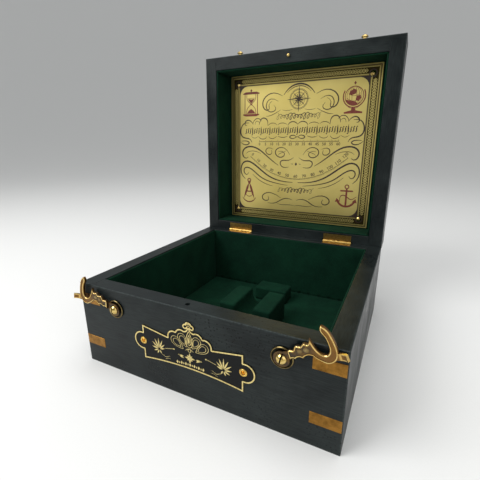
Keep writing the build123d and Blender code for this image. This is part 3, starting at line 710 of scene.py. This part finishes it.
# ---- operators -----------------------------------------------------------------------------
class BOX_OT_case(bpy.types.Operator):
    """Lacquer the boards of the base and of the lid"""

    bl_idname = "instrument_box.case"
    bl_label = "Case"

    half_width: FloatProperty(
        name="Half width", description="Half the case's width", default=133 * MM, unit="LENGTH"
    )
    half_depth: FloatProperty(
        name="Half depth", description="Half the case's depth", default=128 * MM, unit="LENGTH"
    )
    base_top: FloatProperty(
        name="Base top", description="Height of the rim", default=91 * MM, unit="LENGTH"
    )
    lid_top: FloatProperty(
        name="Lid top", description="Height of the shut box", default=139 * MM, unit="LENGTH"
    )
    thin_lacquer: FloatVectorProperty(
        name="Thin lacquer", description="Middle of the open-pored place on the front board",
        default=(44 * MM, -128 * MM, 78 * MM), subtype="TRANSLATION", precision=5,
    )

    def execute(self, context):
        for part, bottom, top, place in (
            ("base", 0.0, self.base_top, None), ("lid", self.base_top, self.lid_top, LID_OPEN),
        ):
            for along, boards in (
                ("x", ("front_board", "rear_board", "panel")), ("y", ("left_board", "right_board")),
            ):
                thin_at = tuple(self.thin_lacquer) if (part, along) == ("base", "x") else None
                lacquer = black_lacquer(
                    f"black_lacquer_{part}_{along}", along,
                    (-self.half_width, -self.half_depth, bottom),
                    (self.half_width, self.half_depth, top), place, thin_at,
                )
                for board in boards:
                    paint(f"{part}_{board}", lacquer)
        return {"FINISHED"}


class BOX_OT_lining(bpy.types.Operator):
    """Cover the walls, the floor and the blocks with velvet"""

    bl_idname = "instrument_box.lining"
    bl_label = "Lining"

    longest_edge: FloatProperty(
        name="Longest edge", description="Mesh size of the velvet", default=7 * MM, unit="LENGTH"
    )

    def execute(self, context):
        velvet = green_velvet()
        pile = context.scene.box_finish.pile_height
        for name in NODES:
            if not (name.endswith(("_lining", "_block")) or name == "lid_backing"):
                continue
            body = "lid" if name.startswith("lid_") else "base"
            piece = finish_piece(
                f"velvet_{name}", self.cover(name, pile), velvet, body
            )
            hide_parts(name)
        return {"FINISHED"}

    def cover(self, name, pile):
        """A node's form, divided finely enough to carry the pile's unevenness."""
        mesh = bmesh.new()
        mesh.from_mesh(NODES[name].data)
        bmesh.ops.remove_doubles(mesh, verts=mesh.verts, dist=1e-6)
        bmesh.ops.dissolve_limit(
            mesh, angle_limit=math.radians(1), verts=mesh.verts, edges=mesh.edges
        )
        bmesh.ops.triangulate(mesh, faces=mesh.faces)
        while long_edges := [e for e in mesh.edges if e.calc_length() > self.longest_edge]:
            bmesh.ops.subdivide_edges(mesh, edges=long_edges, cuts=1)
            bmesh.ops.triangulate(mesh, faces=[face for face in mesh.faces if len(face.verts) > 3])
        mesh.normal_update()
        # The pile leans in patches about 9 mm wide, with tufts of 3 mm in them.
        for vert in mesh.verts:
            lump = noise.noise(vert.co / (9 * MM)) + 0.5 * noise.noise(vert.co / (3 * MM))
            vert.co += vert.normal * pile * lump
        return mesh


class BOX_OT_brass_fittings(bpy.types.Operator):
    """Finish the hinges, screws, studs, strips, eyelets and the locating pin"""

    bl_idname = "instrument_box.brass_fittings"
    bl_label = "Brass fittings"

    def execute(self, context):
        finish = context.scene.box_finish
        # The strips' scratches are about 0.3 mm wide and are drawn at 1.1 mm, so that they show.
        turned, rolled, scratched, gilt, orange = (
            worked_brass(f"{work}_brass", *looks) for work, *looks in (
                ("turned", finish.bright_brass, "#9A7A3C", 0.16, (1, 1, 1)),
                ("rolled", "#C2A05A", "#6B5228", 0.26, (0.1, 1, 1)),
                ("scratched", finish.strip_brass, "#5A3C14", 0.3, (0.16, 1, 1), 10 * MM, 1.1 * MM),
                ("gilt", "#F2CE70", "#C98F2E", 0.2, (1, 1, 1)),
                ("orange", "#DC9228", "#96591A", 0.18, (1, 1, 1)),
            )
        )
        for name in NODES:
            if name == "nameplate_eyelets":
                paint(name, gilt)
            elif name == "nameplate_pins":
                paint(name, orange)
            elif "hinge" in name:
                paint(name, rolled)
            elif name.endswith("_strip"):
                paint(name, scratched)
            elif name.endswith(("_stud", "_screws", "_pin")):
                paint(name, turned)
        return {"FINISHED"}


class BOX_OT_latches(bpy.types.Operator):
    """Finish the cast hooks and their escutcheons, and raise the bosses on the arms"""

    bl_idname = "instrument_box.latches"
    bl_label = "Latches"

    # Heights are measured before the front board's face.
    face_y: FloatProperty(name="Face", description="Front face", default=-128 * MM, unit="LENGTH")
    arm_front: FloatProperty(
        name="Arm", description="Arm's front", default=4.95 * MM, unit="LENGTH"
    )
    arm_sunk: FloatProperty(name="Sunk", description="Sunk face", default=4.55 * MM, unit="LENGTH")
    cup_front: FloatProperty(name="Cup", description="Cup's rim", default=1.6 * MM, unit="LENGTH")
    cup_sunk: FloatProperty(name="Dish", description="Cup's dish", default=1.0 * MM, unit="LENGTH")
    reach: FloatProperty(
        name="Reach", description="Pivot to claw", default=35.9 * MM, unit="LENGTH"
    )
    boss_radius: FloatProperty(
        name="Boss", description="Boss on the arm", default=2.3 * MM, unit="LENGTH"
    )
    boss_height: FloatProperty(
        name="Rise", description="Rise of a boss", default=0.38 * MM, unit="LENGTH"
    )
    slot_width: FloatProperty(
        name="Slot", description="Screw slot", default=1.2 * MM, unit="LENGTH"
    )
    slot_turn: FloatProperty(name="Turn", description="Slot from upright, in degrees", default=12.0)

    def execute(self, context):
        finish = context.scene.box_finish
        tones = (finish.bright_brass, "#C9A560", "#4C4238", finish.dark_brass)
        rim, dish = self.face_y - self.cup_front, self.face_y - self.cup_sunk
        front, sunk = self.face_y - self.arm_front, self.face_y - self.arm_sunk
        cup = cast_brass(
            "blackened_brass_cup", rim, dish, ("#83734A", "#5C5034", "#1B1B17", "#29261C")
        )
        # The arm turns orange between these two distances from the pivot.
        warm = (24 * MM, 34 * MM, "#8E6430")
        # The finger tab's dark face: its two ends along the arm, and its two sides across it.
        tab = (46.0 * MM, 49.8 * MM, -3.2 * MM, 0.2 * MM)
        for joint in frame["joints"]:
            body = joint["name"].removesuffix("_pivot")
            if body not in REST_TILT:
                continue
            side = -1 if body == "left_hook" else 1
            pivot = Vector(joint["pos_m"])
            pivot.y = 0.0
            tilt = math.radians(side * REST_TILT[body])
            place = Matrix.Translation(pivot) @ Matrix.Rotation(-tilt, 4, "Y")
            metal = cast_brass(f"cast_brass_{body}", front, sunk, tones, tab, warm, place, side)
            paint(body, metal)
            paint(body.replace("hook", "escutcheon"), cup)
            turn = math.radians(side * self.slot_turn - 90)
            slot = Matrix.Translation(pivot) @ Matrix.Rotation(turn, 4, "Y")
            paint(
                body.replace("hook", "pivot_screw"),
                slotted_brass(f"slotted_brass_{body}", slot, self.slot_width / 2),
            )
            worn = cast_brass(
                f"worn_brass_{body}", front - self.boss_height, sunk,
                ("#A48F5E", "#8C784C") + tones[2:], place=place, side=side,
            )
            self.bosses(body, place @ Matrix.Diagonal((side, 1, 1, 1)), worn)
        return {"FINISHED"}

    def bosses(self, body, place, metal):
        """Two low domes cast on the arm between its scallops, in hundredths of the reach."""
        mesh = bmesh.new()
        for along, across, size in ((49, 15.6, 1.0), (63.5, 16.6, 1.12)):
            at = (self.reach * along / 100, self.face_y - self.arm_sunk, self.reach * across / 100)
            radius = size * self.boss_radius
            bmesh.ops.create_uvsphere(
                mesh, u_segments=24, v_segments=12, radius=radius,
                matrix=Matrix.Translation(at)
                @ Matrix.Diagonal((1, size * self.boss_height / radius, 0.85, 1)),
            )
        bmesh.ops.transform(mesh, matrix=place, verts=mesh.verts)
        bmesh.ops.recalc_face_normals(mesh, faces=mesh.faces)
        finish_piece(f"{body}_bosses", mesh, metal, body)


class BOX_OT_nameplate(bpy.types.Operator):
    """Gild the nameplate's edge and raise its palmette, leaf sprays and star"""

    bl_idname = "instrument_box.nameplate"
    bl_label = "Nameplate"

    raised_y: FloatProperty(
        name="Edge", description="Raised edge", default=-129 * MM, unit="LENGTH"
    )
    field_y: FloatProperty(
        name="Field", description="Sunk field", default=-128.7 * MM, unit="LENGTH"
    )

    def execute(self, context):
        sizes = context.scene.box_plates
        paint("nameplate", gilt_edged_enamel(self.raised_y, self.field_y))
        strokes, shapes = both_sides(*self.half())
        strokes += self.spike()
        shapes += self.star()
        place = (
            Matrix.Translation((0, self.field_y, sizes.eyelet_height * MM))
            @ Matrix.Rotation(math.radians(90), 4, "X")
        )
        drawn_piece(
            "nameplate_gilding", (strokes, shapes, []), sizes.gilding_height, place,
            wax("gold_leaf", context.scene.box_finish.gold_leaf, 1.0), "base",
        )
        return {"FINISHED"}

    def half(self):
        """The right half: two lobes of the palmette, a rod, a spray of leaves and pen strokes."""
        strokes, shapes = [], []
        # The lobes are nested drops that follow the plate's scallops.
        for base, heading, length, width in (
            ((3.2, 7.2), 60, 13.8, 9.4), ((6.6, 4.4), 36, 15.4, 9.6),
        ):
            for share in (1.0, 0.64):
                strokes.append(self.drop(base, heading, length, width, share))
        strokes.append(line((17.0, 1.0), (27.0, -1.4), 0.55))
        shapes.append(lozenge((17.0, 1.0), 1.0, 0.8))
        root = (34.0, -4.0)
        for heading, length in (
            (162, 5.6), (136, 7.8), (112, 9.6), (88, 10.4), (64, 9.8), (38, 8.6), (8, 7.0),
            (-26, 5.6), (-66, 4.4), (-120, 3.6),
        ):
            shapes.append(leaf(polar(root, 1.2, heading), heading, length, 1.35))
        strokes.append(pen((27.5, -10.4), 8, 12, (-500, 60, 260, -120, 420), 0.5))
        strokes.append(pen((25.0, -11.4), -20, 7, (300, -120, -60, 300), 0.4))
        # The row under the star has a mark every 4.6 mm, and sinks a little towards its ends.
        for i in range(1, 4):
            x, sunk = 4.6 * i, 0.08 * i * i
            shapes.append(lozenge((x, -10.2 - sunk), 1.1, 1.8))
            shapes.append(leaf((x - 2.3, -11.4 - sunk), 90, 2.4, 1.0))
        return strokes, shapes

    def drop(self, base, heading, length, width, share):
        """Drop that starts at a point and swells to a round end."""
        points, count = [], 14
        for i in range(count + 1):
            turn = 2 * math.pi * i / count
            along = 0.5 * (1 - math.cos(turn))
            across = 0.5 * math.sin(turn) * along ** 0.5
            at = polar(base, length * (1 - share) * 0.5 + length * share * along, heading)
            points.append(at + polar((0, 0), width * share * across * 1.25, heading + 90))
        return (points, 0.45, EVEN)

    def spike(self):
        """Pointed drop and small rings in the middle of the palmette."""
        strokes = []
        for wide, low, high in ((3.3, 7.0, 23.5), (1.9, 9.5, 20.0)):
            middle = low + 0.42 * (high - low)
            for side in (-1, 1):
                strokes.append((outline(
                    (0, low), (1.1 * side * wide, low + 1.0), (1.25 * side * wide, middle),
                    (0.4 * side * wide, high - 2.5), (0, high),
                ), 0.6, EVEN))
        return strokes + [
            arc((0, 4.2), 1.5, 0, 360, 0.6, EVEN), arc((0, 27.4), 1.5, 0, 360, 0.7, EVEN),
            arc((0, 27.4), 3.1, 20, 160, 0.8), arc((0, 0.6), 5.2, 35, 145, 0.8),
        ]

    def star(self):
        """Plain star of eight rays below the palmette."""
        middle = (0, -3.4)
        shapes = [leaf(middle, 45 * i, 5.4 if i % 2 == 0 else 3.8, 1.7) for i in range(8)]
        for side in (-1, 1):
            for low in (0.6, -1.6):
                shapes.append(leaf((side * 6.4, -3.6 + low), 90 - side * (84 + 12 * low), 6.6, 1.4))
        shapes += [leaf((0, 11), 90, 6.5, 1.6), lozenge((0, -10.2), 1.1, 1.8)]
        return shapes


class BOX_OT_lid_plate(bpy.types.Operator):
    """Engrave the lid plate: border, scrolls, scales, compass rose and corner pictures"""

    bl_idname = "instrument_box.lid_plate"
    bl_label = "Lid plate"

    def execute(self, context):
        sizes = context.scene.box_plates
        finish = context.scene.box_finish
        paint("lid_plate", etched_plate_brass(sizes))
        place = (
            LID_OPEN @ Matrix.Translation((0, 0, sizes.face_height * MM))
            @ Matrix.Rotation(math.radians(180), 4, "X")
        )
        ink = wax("brown_wax", finish.ink)
        for name, drawing, material in (
            ("plate_border", self.border(sizes), ink),
            ("plate_lace", self.lace(sizes), wax("bright_lace", finish.plate_brass, 1.0)),
            ("plate_scrolls", self.scrolls(), ink),
            ("plate_scales", self.scales(sizes), ink),
            ("plate_rose", self.rose(), ink),
            ("plate_pictures", self.pictures(), wax("red_wax", finish.red_ink)),
        ):
            drawn_piece(name, drawing, sizes.ink_height, place, material, "lid")
        return {"FINISHED"}

    def border(self, sizes):
        """Ruled lines, dark inner corners and rings round the corner screws."""
        strokes, shapes = [], []
        for inset, width in ((2.2, 0.9), (15.0, 1.1)):
            strokes += oblong(sizes.half_width - inset, sizes.half_depth - inset, width)
        corner = Vector((sizes.half_width - sizes.border, sizes.half_depth - sizes.border))
        radius, screw_inset = 13.0, 12.0
        for x, y in ((-1, -1), (-1, 1), (1, -1), (1, 1)):
            rounded = [corner + polar((-radius, -radius), radius, 90 * i / 8) for i in range(9)]
            shapes.append(outline(*((x * p.x, y * p.y) for p in rounded + [corner])))
            spot = (x * (sizes.half_width - screw_inset), y * (sizes.half_depth - screw_inset))
            strokes.append(arc(spot, 4.6, 0, 360, 1.4, EVEN))
        return strokes, shapes, []

    def lace(self, sizes):
        """Two crossing waves with dots in their eyes, between two bright lines."""
        strokes, shapes = [], []
        swing, corner_gap = 3.9, 3
        for side in (-1, 1):
            inset = sizes.lace_inset + side * sizes.lace_width / 2
            strokes += oblong(sizes.half_width - inset, sizes.half_depth - inset, 0.8)
        for half, reach, across in (
            (sizes.half_width, sizes.half_depth - sizes.lace_inset, True),
            (sizes.half_depth, sizes.half_width - sizes.lace_inset, False),
        ):
            run = half - sizes.border - corner_gap
            for side in (-1, 1):
                for phase in (0, 2):
                    points = []
                    for i in range(4 * sizes.waves + 1):
                        along = -run + 2 * run * i / (4 * sizes.waves)
                        off = side * reach + swing * (0, 1, 0, -1)[(i + phase) % 4]
                        points.append(Vector((along, off) if across else (off, along)))
                    strokes.append((points, 0.8, EVEN))
                for i in range(2 * sizes.waves):
                    along = -run + 2 * run * (i + 0.5) / (2 * sizes.waves)
                    at = (along, side * reach) if across else (side * reach, along)
                    shapes.append(lozenge(at, 0.8, 0.8))
        return strokes, shapes, []

    def scrolls(self):
        """Calligraphic scrolls, laid out on one half and mirrored."""
        strokes = [(outline(*points), width, TAPERED) for width, *points in (
            # beside and below the rose
            (1.7, (25, 76), (36, 83), (52, 79), (58, 66), (51, 55), (43, 58), (46, 65)),
            (1.4, (31, 69), (42, 76), (52, 68), (49, 56), (39, 53), (32, 59), (38, 64)),
            (1.0, (40, 70), (46, 68), (46, 61)),
            (1.0, (9, 57), (17, 54), (25, 57)),
            (1.2, (27, 57), (36, 52), (44, 48), (50, 49)),
            # over the frieze
            (1.8, (0, 36), (4, 42), (13, 41), (15, 35)),
            (1.2, (16, 36), (21, 40), (28, 39), (31, 36)),
            (1.2, (32, 36), (37, 41), (44, 39), (47, 35)),
            (1.7, (47, 36), (46, 43), (53, 49), (60, 45), (61, 37)),
            (1.5, (57, 42), (62, 49), (70, 47), (72, 38)),
            (1.1, (61, 40), (64, 44), (68, 43), (68, 37)),
            (1.8, (71, 38), (76, 45), (85, 45), (87, 37), (82, 36)),
            (1.9, (78, 40), (87, 42), (94, 32), (92, 20), (84, 17), (75, 17), (73, 11)),
            # under the frieze
            (1.5, (1, 17), (2, 22), (12, 21), (12, 16), (3, 16), (0, 20)),
            (1.5, (15, 20), (22, 16), (30, 20)),
            (1.2, (32, 20), (36, 15), (44, 16), (45, 20)),
            (1.3, (48, 20), (50, 14), (59, 15), (62, 20)),
            (1.1, (63, 20), (68, 15), (74, 20)),
            (1.7, (91, 13), (84, 14), (76, 12), (79, 7), (88, 7), (93, 12)),
            # between the scales
            (1.5, (10, -7), (16, 4), (30, 5), (36, -5), (26, -13), (16, -8), (20, -1), (29, -2)),
            (1.4, (37, 1), (45, 5), (52, -1), (45, -9), (37, -6), (40, 0)),
            (1.6, (4, -11), (11, -17), (21, -13), (28, -20), (20, -28), (11, -25)),
            (1.0, (16, -1), (22, -5), (27, -4), (29, -8)),
            # round the ends of the long scale
            (2.3, (28, -23), (41, -15), (56, -1), (72, 6), (86, 4), (92, -7), (84, -16),
             (79, -11)),
            (1.1, (57, -6), (66, -1), (78, 0), (83, -6)),
            (2.4, (4, -48), (21, -48), (39, -43), (53, -34), (68, -22), (82, -15), (94, -24),
             (92, -40), (84, -46)),
            (1.8, (12, -53), (30, -51), (48, -47), (61, -40), (74, -28), (86, -26), (88, -37),
             (80, -41), (78, -35)),
            (1.3, (36, -55), (50, -53), (61, -47), (71, -38)),
            # foot
            (1.6, (22, -73), (35, -65), (49, -65), (56, -74), (48, -81), (40, -77), (44, -71)),
            (1.5, (3, -75), (13, -71), (24, -77), (33, -84), (44, -82)),
            (1.1, (0, -84), (10, -81), (19, -86), (28, -82)),
        )]
        strokes, shapes = both_sides(strokes, [lozenge((6, -20.5), 2.2, 0.5)])
        shapes.append(lozenge((0, -20.5), 1.8, 2.6))
        strokes += [self.running_loops(47.5, 33, 3.6, 13), self.running_loops(-60, 28, 3.2, 11)]
        return strokes, shapes + self.frieze(28.0), []

    def running_loops(self, row, reach, rise, count):
        """One pen line of slanting loops, as in penmanship practice, in three swells."""
        points, last = [], 8 * count
        for i in range(last + 1):
            turn, share = math.pi * i / 4, i / last
            up = rise * math.cos(turn) * (1.0 + 0.45 * math.cos(6 * math.pi * share))
            along = -reach + 2 * reach * share
            points.append(Vector((along + 0.75 * rise * math.sin(turn) + 0.35 * up, row + up)))
        return (points, 1.1, TAPERED)

    def frieze(self, row):
        """Dense row of pointed bars, tall and short, with lozenges at their feet and heads."""
        shapes = []
        pitch, last = 3.6, 23
        for i in range(-last, last + 1):
            x = pitch * i
            low, high = ((-6.4, 6.8), (-4.2, 3.4), (-3.4, 4.2), (-4.2, 4.2))[i % 4]
            shapes.append(leaf((x, row + low), 90, high - low, 1.9 if i % 4 == 0 else 1.6))
            if i % 4 != 0:
                shapes.append(lozenge((x + 0.9, row + high - 0.8), 1.1, 0.8))
            shapes.append(lozenge((x - 0.9, row + low + 0.8), 1.1, 0.8))
        return shapes

    def scales(self, sizes):
        """A straight scale and a long curved scale, with plain degree numbers."""
        row, number_row, mark = 12.0, 8.4, 0.4
        strokes, numbers = [line((-61, row), (61, row), sizes.line)], []
        for i in range(61):
            x = -60 + 2 * i
            strokes.append(line((x, row), (x, row + (2.6 if i % 5 == 0 else 1.4)), mark))
            if i % 5 == 0:
                numbers.append((str(i), (x, number_row), 5.6, 0))
        centre, radius, first = (0, 57), 101, 222
        strokes.append(arc(centre, radius, first, first + 96, sizes.line, EVEN))
        for i in range(97):
            degrees = first + i
            inner = polar(centre, radius - (2.2 if i % 4 == 0 else 1.2), degrees)
            strokes.append(line(inner, polar(centre, radius, degrees), mark))
            if i % 8 == 0:
                at = polar(centre, radius - 5.2, degrees)
                numbers.append((str(i // 8 * 10), at, 6.2, degrees - 270))
        return strokes, [], numbers

    def rose(self):
        """Compass rose of sixteen rays in a graduated ring, under a bow."""
        middle, bow_middle = (0, 70.5), (0, 65)
        band, outer = 12.6, 14.0
        strokes, shapes = [], []
        for i in range(16):
            degrees = 22.5 * i
            length, wide = ((17.0, 2.6), (7.5, 1.2), (11.5, 1.9), (7.5, 1.2))[i % 4]
            tip = polar(middle, length, degrees)
            shapes.append(outline(middle, polar(middle, wide, degrees - 45), tip))
            strokes.append(line(polar(middle, wide, degrees + 45), tip, 0.45))
            strokes.append(line(middle, tip, 0.4))
        for radius, width in ((9.0, 0.5), (band, 0.7), (outer, 0.4)):
            strokes.append(arc(middle, radius, 0, 360, width, EVEN))
        for i in range(36):
            strokes.append(line(polar(middle, band, 10 * i), polar(middle, outer, 10 * i), 0.4))
        for radius, spread, width in ((25.8, 62, 2.2), (23.0, 50, 1.2)):
            strokes.append(arc(bow_middle, radius, 90 - spread, 90 + spread, width))
        return strokes, shapes, []

    def pictures(self):
        """Hourglass, globe, anchor and dividers, one in each corner."""
        strokes, shapes = [], []
        for at, parts in (
            ((-75, 67), self.hourglass()), ((76, 66), self.globe()),
            ((77, -64), self.anchor()), ((-77, -64), self.dividers()),
        ):
            for points, width, kind in parts[0]:
                strokes.append(([Vector(at) + point for point in points], width, kind))
            shapes += [[Vector(at) + point for point in shape] for shape in parts[1]]
        return strokes, shapes, []

    def hourglass(self):
        """Hourglass in a turned frame, half run out."""
        strokes = [line((x, -14), (x, 14), 1.2) for x in (-10.5, 10.5)]
        for side in (-1, 1):
            strokes.append((outline(*((side * x, y) for x, y in (
                (7.5, 14), (8, 10), (7, 5.5), (1.6, 1.4), (0.8, 0), (1.6, -1.4), (7, -5.5),
                (8, -10), (7.5, -14),
            ))), 0.9, EVEN))
        for i in range(6):
            half, y = 6 - 0.6 * i, 8.5 - 1.3 * i
            strokes.append(line((-half, y), (half, y), 0.5))
        shapes = [
            outline((-5.4, 7.4), (0, 1.0), (5.4, 7.4), (0, 6.2)),
            outline((-7, -13.4), (7, -13.4), (4.2, -9.4), (0, -6.6), (-4.2, -9.4)),
        ]
        for y in (-1, 1):
            shapes.append(outline(*((x, y * (14 + rise)) for x, rise in (
                (-13.5, 0), (13.5, 0), (13.5, 1.6), (9, 3.4), (-9, 3.4), (-13.5, 1.6)
            ))))
        return strokes, shapes + [lozenge((0, 19.2), 1.8, 2.2), lozenge((0, 0), 1.2, 2.0)]

    def globe(self):
        """Globe in its ring on a turned foot."""
        middle, radius = (0, 4), 12
        strokes = [
            arc(middle, radius, 0, 360, 1.0, EVEN), arc(middle, radius + 2.4, 150, 390, 1.5, EVEN),
        ]
        for squeeze in (0.25, 0.55, 0.8):
            strokes.append(arc(middle, radius, 0, 360, 0.5, EVEN, squeeze))
        for height in (-8, -4, 0, 4, 8):
            half = math.sqrt(radius * radius - height * height)
            strokes.append(arc((0, 7 + height), half + 2, 225, 315, 0.5, EVEN))
        return strokes, [
            [polar(middle, radius, a) for a in (200, 225, 250, 275, 300)] + outline((2, -3)),
            outline((-6, 10), (-1, 13), (3, 11), (2, 7), (-3, 5), (-7, 6)),
            outline((3, 4), (8, 5), (9, 1), (6, -3), (2, -1)),
            outline((-2, -10), (2, -10), (3, -14), (12, -16), (12, -18), (-12, -18), (-12, -16),
                    (-3, -14)),
            lozenge((0, 20), 1.6, 2.4),
        ]

    def anchor(self):
        """Anchor with a ring, a stock and a turn of rope."""
        strokes = [
            line((0, -15), (0, 11), 2.6), arc((0, 13.6), 2.6, 0, 360, 1.5, EVEN),
            arc((0, -2), 13, 205, 335, 2.8, EVEN), line((-7.5, 7.6), (7.5, 7.6), 2.2),
            pen((0, 0), -35, 34, (300, -500, -200, 500, -300), 1.4),
        ]
        shapes = [lozenge((x, 7.6), 1.3, 1.3) for x in (-8, 8)]
        for side in (-1, 1):
            fluke = ((8.6, -7.6), (15.4, -9.2), (13.2, -3.2))
            shapes.append(outline(*((side * x, y) for x, y in fluke)))
        return strokes, shapes

    def dividers(self):
        """Pair of dividers standing on an arc."""
        strokes = [
            arc((0, 16.4), 2.6, 0, 360, 1.7, EVEN), arc((0, 13), 15, 245, 295, 2.0, EVEN),
            arc((0, -6), 13, 205, 335, 2.0), arc((0, -3), 7, 200, 340, 1.2),
        ]
        shapes = [leaf((0, 13.5), heading, 29, 3.6) for heading in (-109, -71)]
        return strokes, shapes + [lozenge((0, 13), 2.6, 3.0)]


class BOX_OT_stage(bpy.types.Operator):
    """Lay the floor, set the lights and the camera"""

    bl_idname = "instrument_box.stage"
    bl_label = "Stage"

    def execute(self, context):
        self.floor()
        self.lights(context.scene.box_stage)
        self.camera(context.scene.box_stage)
        context.scene.view_settings.view_transform = "Standard"
        return {"FINISHED"}

    def floor(self):
        """A wide floor that rises all round into a backdrop far from the box."""
        half_size, level_radius, rise, gap = 14.0, 2.0, 0.05, 0.2 * MM
        mesh = bmesh.new()
        bmesh.ops.create_grid(mesh, x_segments=80, y_segments=80, size=half_size)
        for vert in mesh.verts:
            vert.co.z = rise * max(0.0, vert.co.xy.length - level_radius) ** 2 - gap
        data = bpy.data.meshes.new("floor")
        mesh.to_mesh(data)
        mesh.free()
        data.shade_smooth()
        data.materials.append(paper_floor())
        floor = bpy.data.objects.new("floor", data)
        bpy.context.scene.collection.objects.link(floor)

    def lights(self, stage):
        """Soft daylight from the world and three large lamps, which face the middle of the box."""
        middle = Vector((0.0, 0.0, 0.1))
        world = bpy.data.worlds.new("studio")
        world.use_nodes = True
        background = world.node_tree.nodes["Background"]
        background.inputs["Color"].default_value = linear("#E6E8EA")
        background.inputs["Strength"].default_value = stage.daylight
        bpy.context.scene.world = world
        for name, place, power, size in (
            ("key", (-0.8, -0.9, 1.2), 17.0, 0.9),
            ("fill", (1.2, -0.8, 0.7), 5.0, 1.2),
            ("top", (0.1, 0.1, 1.6), 8.0, 1.0),
        ):
            lamp = bpy.data.lights.new(name, "AREA")
            lamp.energy = power
            lamp.size = size
            holder = bpy.data.objects.new(name, lamp)
            holder.location = place
            holder.rotation_euler = (middle - holder.location).to_track_quat("-Z", "Y").to_euler()
            bpy.context.scene.collection.objects.link(holder)

    def camera(self, stage):
        """The photograph's own viewpoint."""
        lens = bpy.data.cameras.new("camera")
        lens.lens = stage.lens
        lens.sensor_width = 36.0
        lens.clip_start = 0.01
        camera = bpy.data.objects.new("camera", lens)
        # The camera's own axes, as directions in the frame.
        right, up = (0.894577, 0.446877, -0.005685), (-0.123380, 0.259173, 0.957918)
        back = (0.429545, -0.856230, 0.286986)
        turn = Matrix((right, up, back)).transposed()
        camera.matrix_world = Matrix.Translation(Vector(stage.camera_place)) @ turn.to_4x4()
        bpy.context.scene.collection.objects.link(camera)
        bpy.context.scene.camera = camera


OPERATORS = (
    BOX_OT_case, BOX_OT_lining, BOX_OT_brass_fittings, BOX_OT_latches, BOX_OT_nameplate,
    BOX_OT_lid_plate, BOX_OT_stage,
)


class BOX_PT_panel(bpy.types.Panel):
    """Settings and buttons of the instrument box"""

    bl_label = "Instrument Box"
    bl_idname = "BOX_PT_panel"
    bl_space_type = "VIEW_3D"
    bl_region_type = "UI"
    bl_category = "Instrument Box"

    def draw(self, context):
        scene = context.scene
        for settings in (scene.box_finish, scene.box_plates, scene.box_stage):
            column = self.layout.column()
            for name in settings.__annotations__:
                column.prop(settings, name)
        for operator in OPERATORS:
            self.layout.operator(operator.bl_idname)


CLASSES = (BoxFinish, PlateSizes, StageSettings, *OPERATORS, BOX_PT_panel)


def register():
    for item in CLASSES:
        bpy.utils.register_class(item)
    bpy.types.Scene.box_finish = PointerProperty(type=BoxFinish)
    bpy.types.Scene.box_plates = PointerProperty(type=PlateSizes)
    bpy.types.Scene.box_stage = PointerProperty(type=StageSettings)


def unregister():
    del bpy.types.Scene.box_stage
    del bpy.types.Scene.box_plates
    del bpy.types.Scene.box_finish
    for item in reversed(CLASSES):
        bpy.utils.unregister_class(item)


def main():
    """Builds everything in order."""
    register()
    bpy.ops.instrument_box.case()
    bpy.ops.instrument_box.lining()
    bpy.ops.instrument_box.brass_fittings()
    bpy.ops.instrument_box.latches()
    bpy.ops.instrument_box.nameplate()
    bpy.ops.instrument_box.lid_plate()
    bpy.ops.instrument_box.stage()


if __name__ == "__main__":
    main()
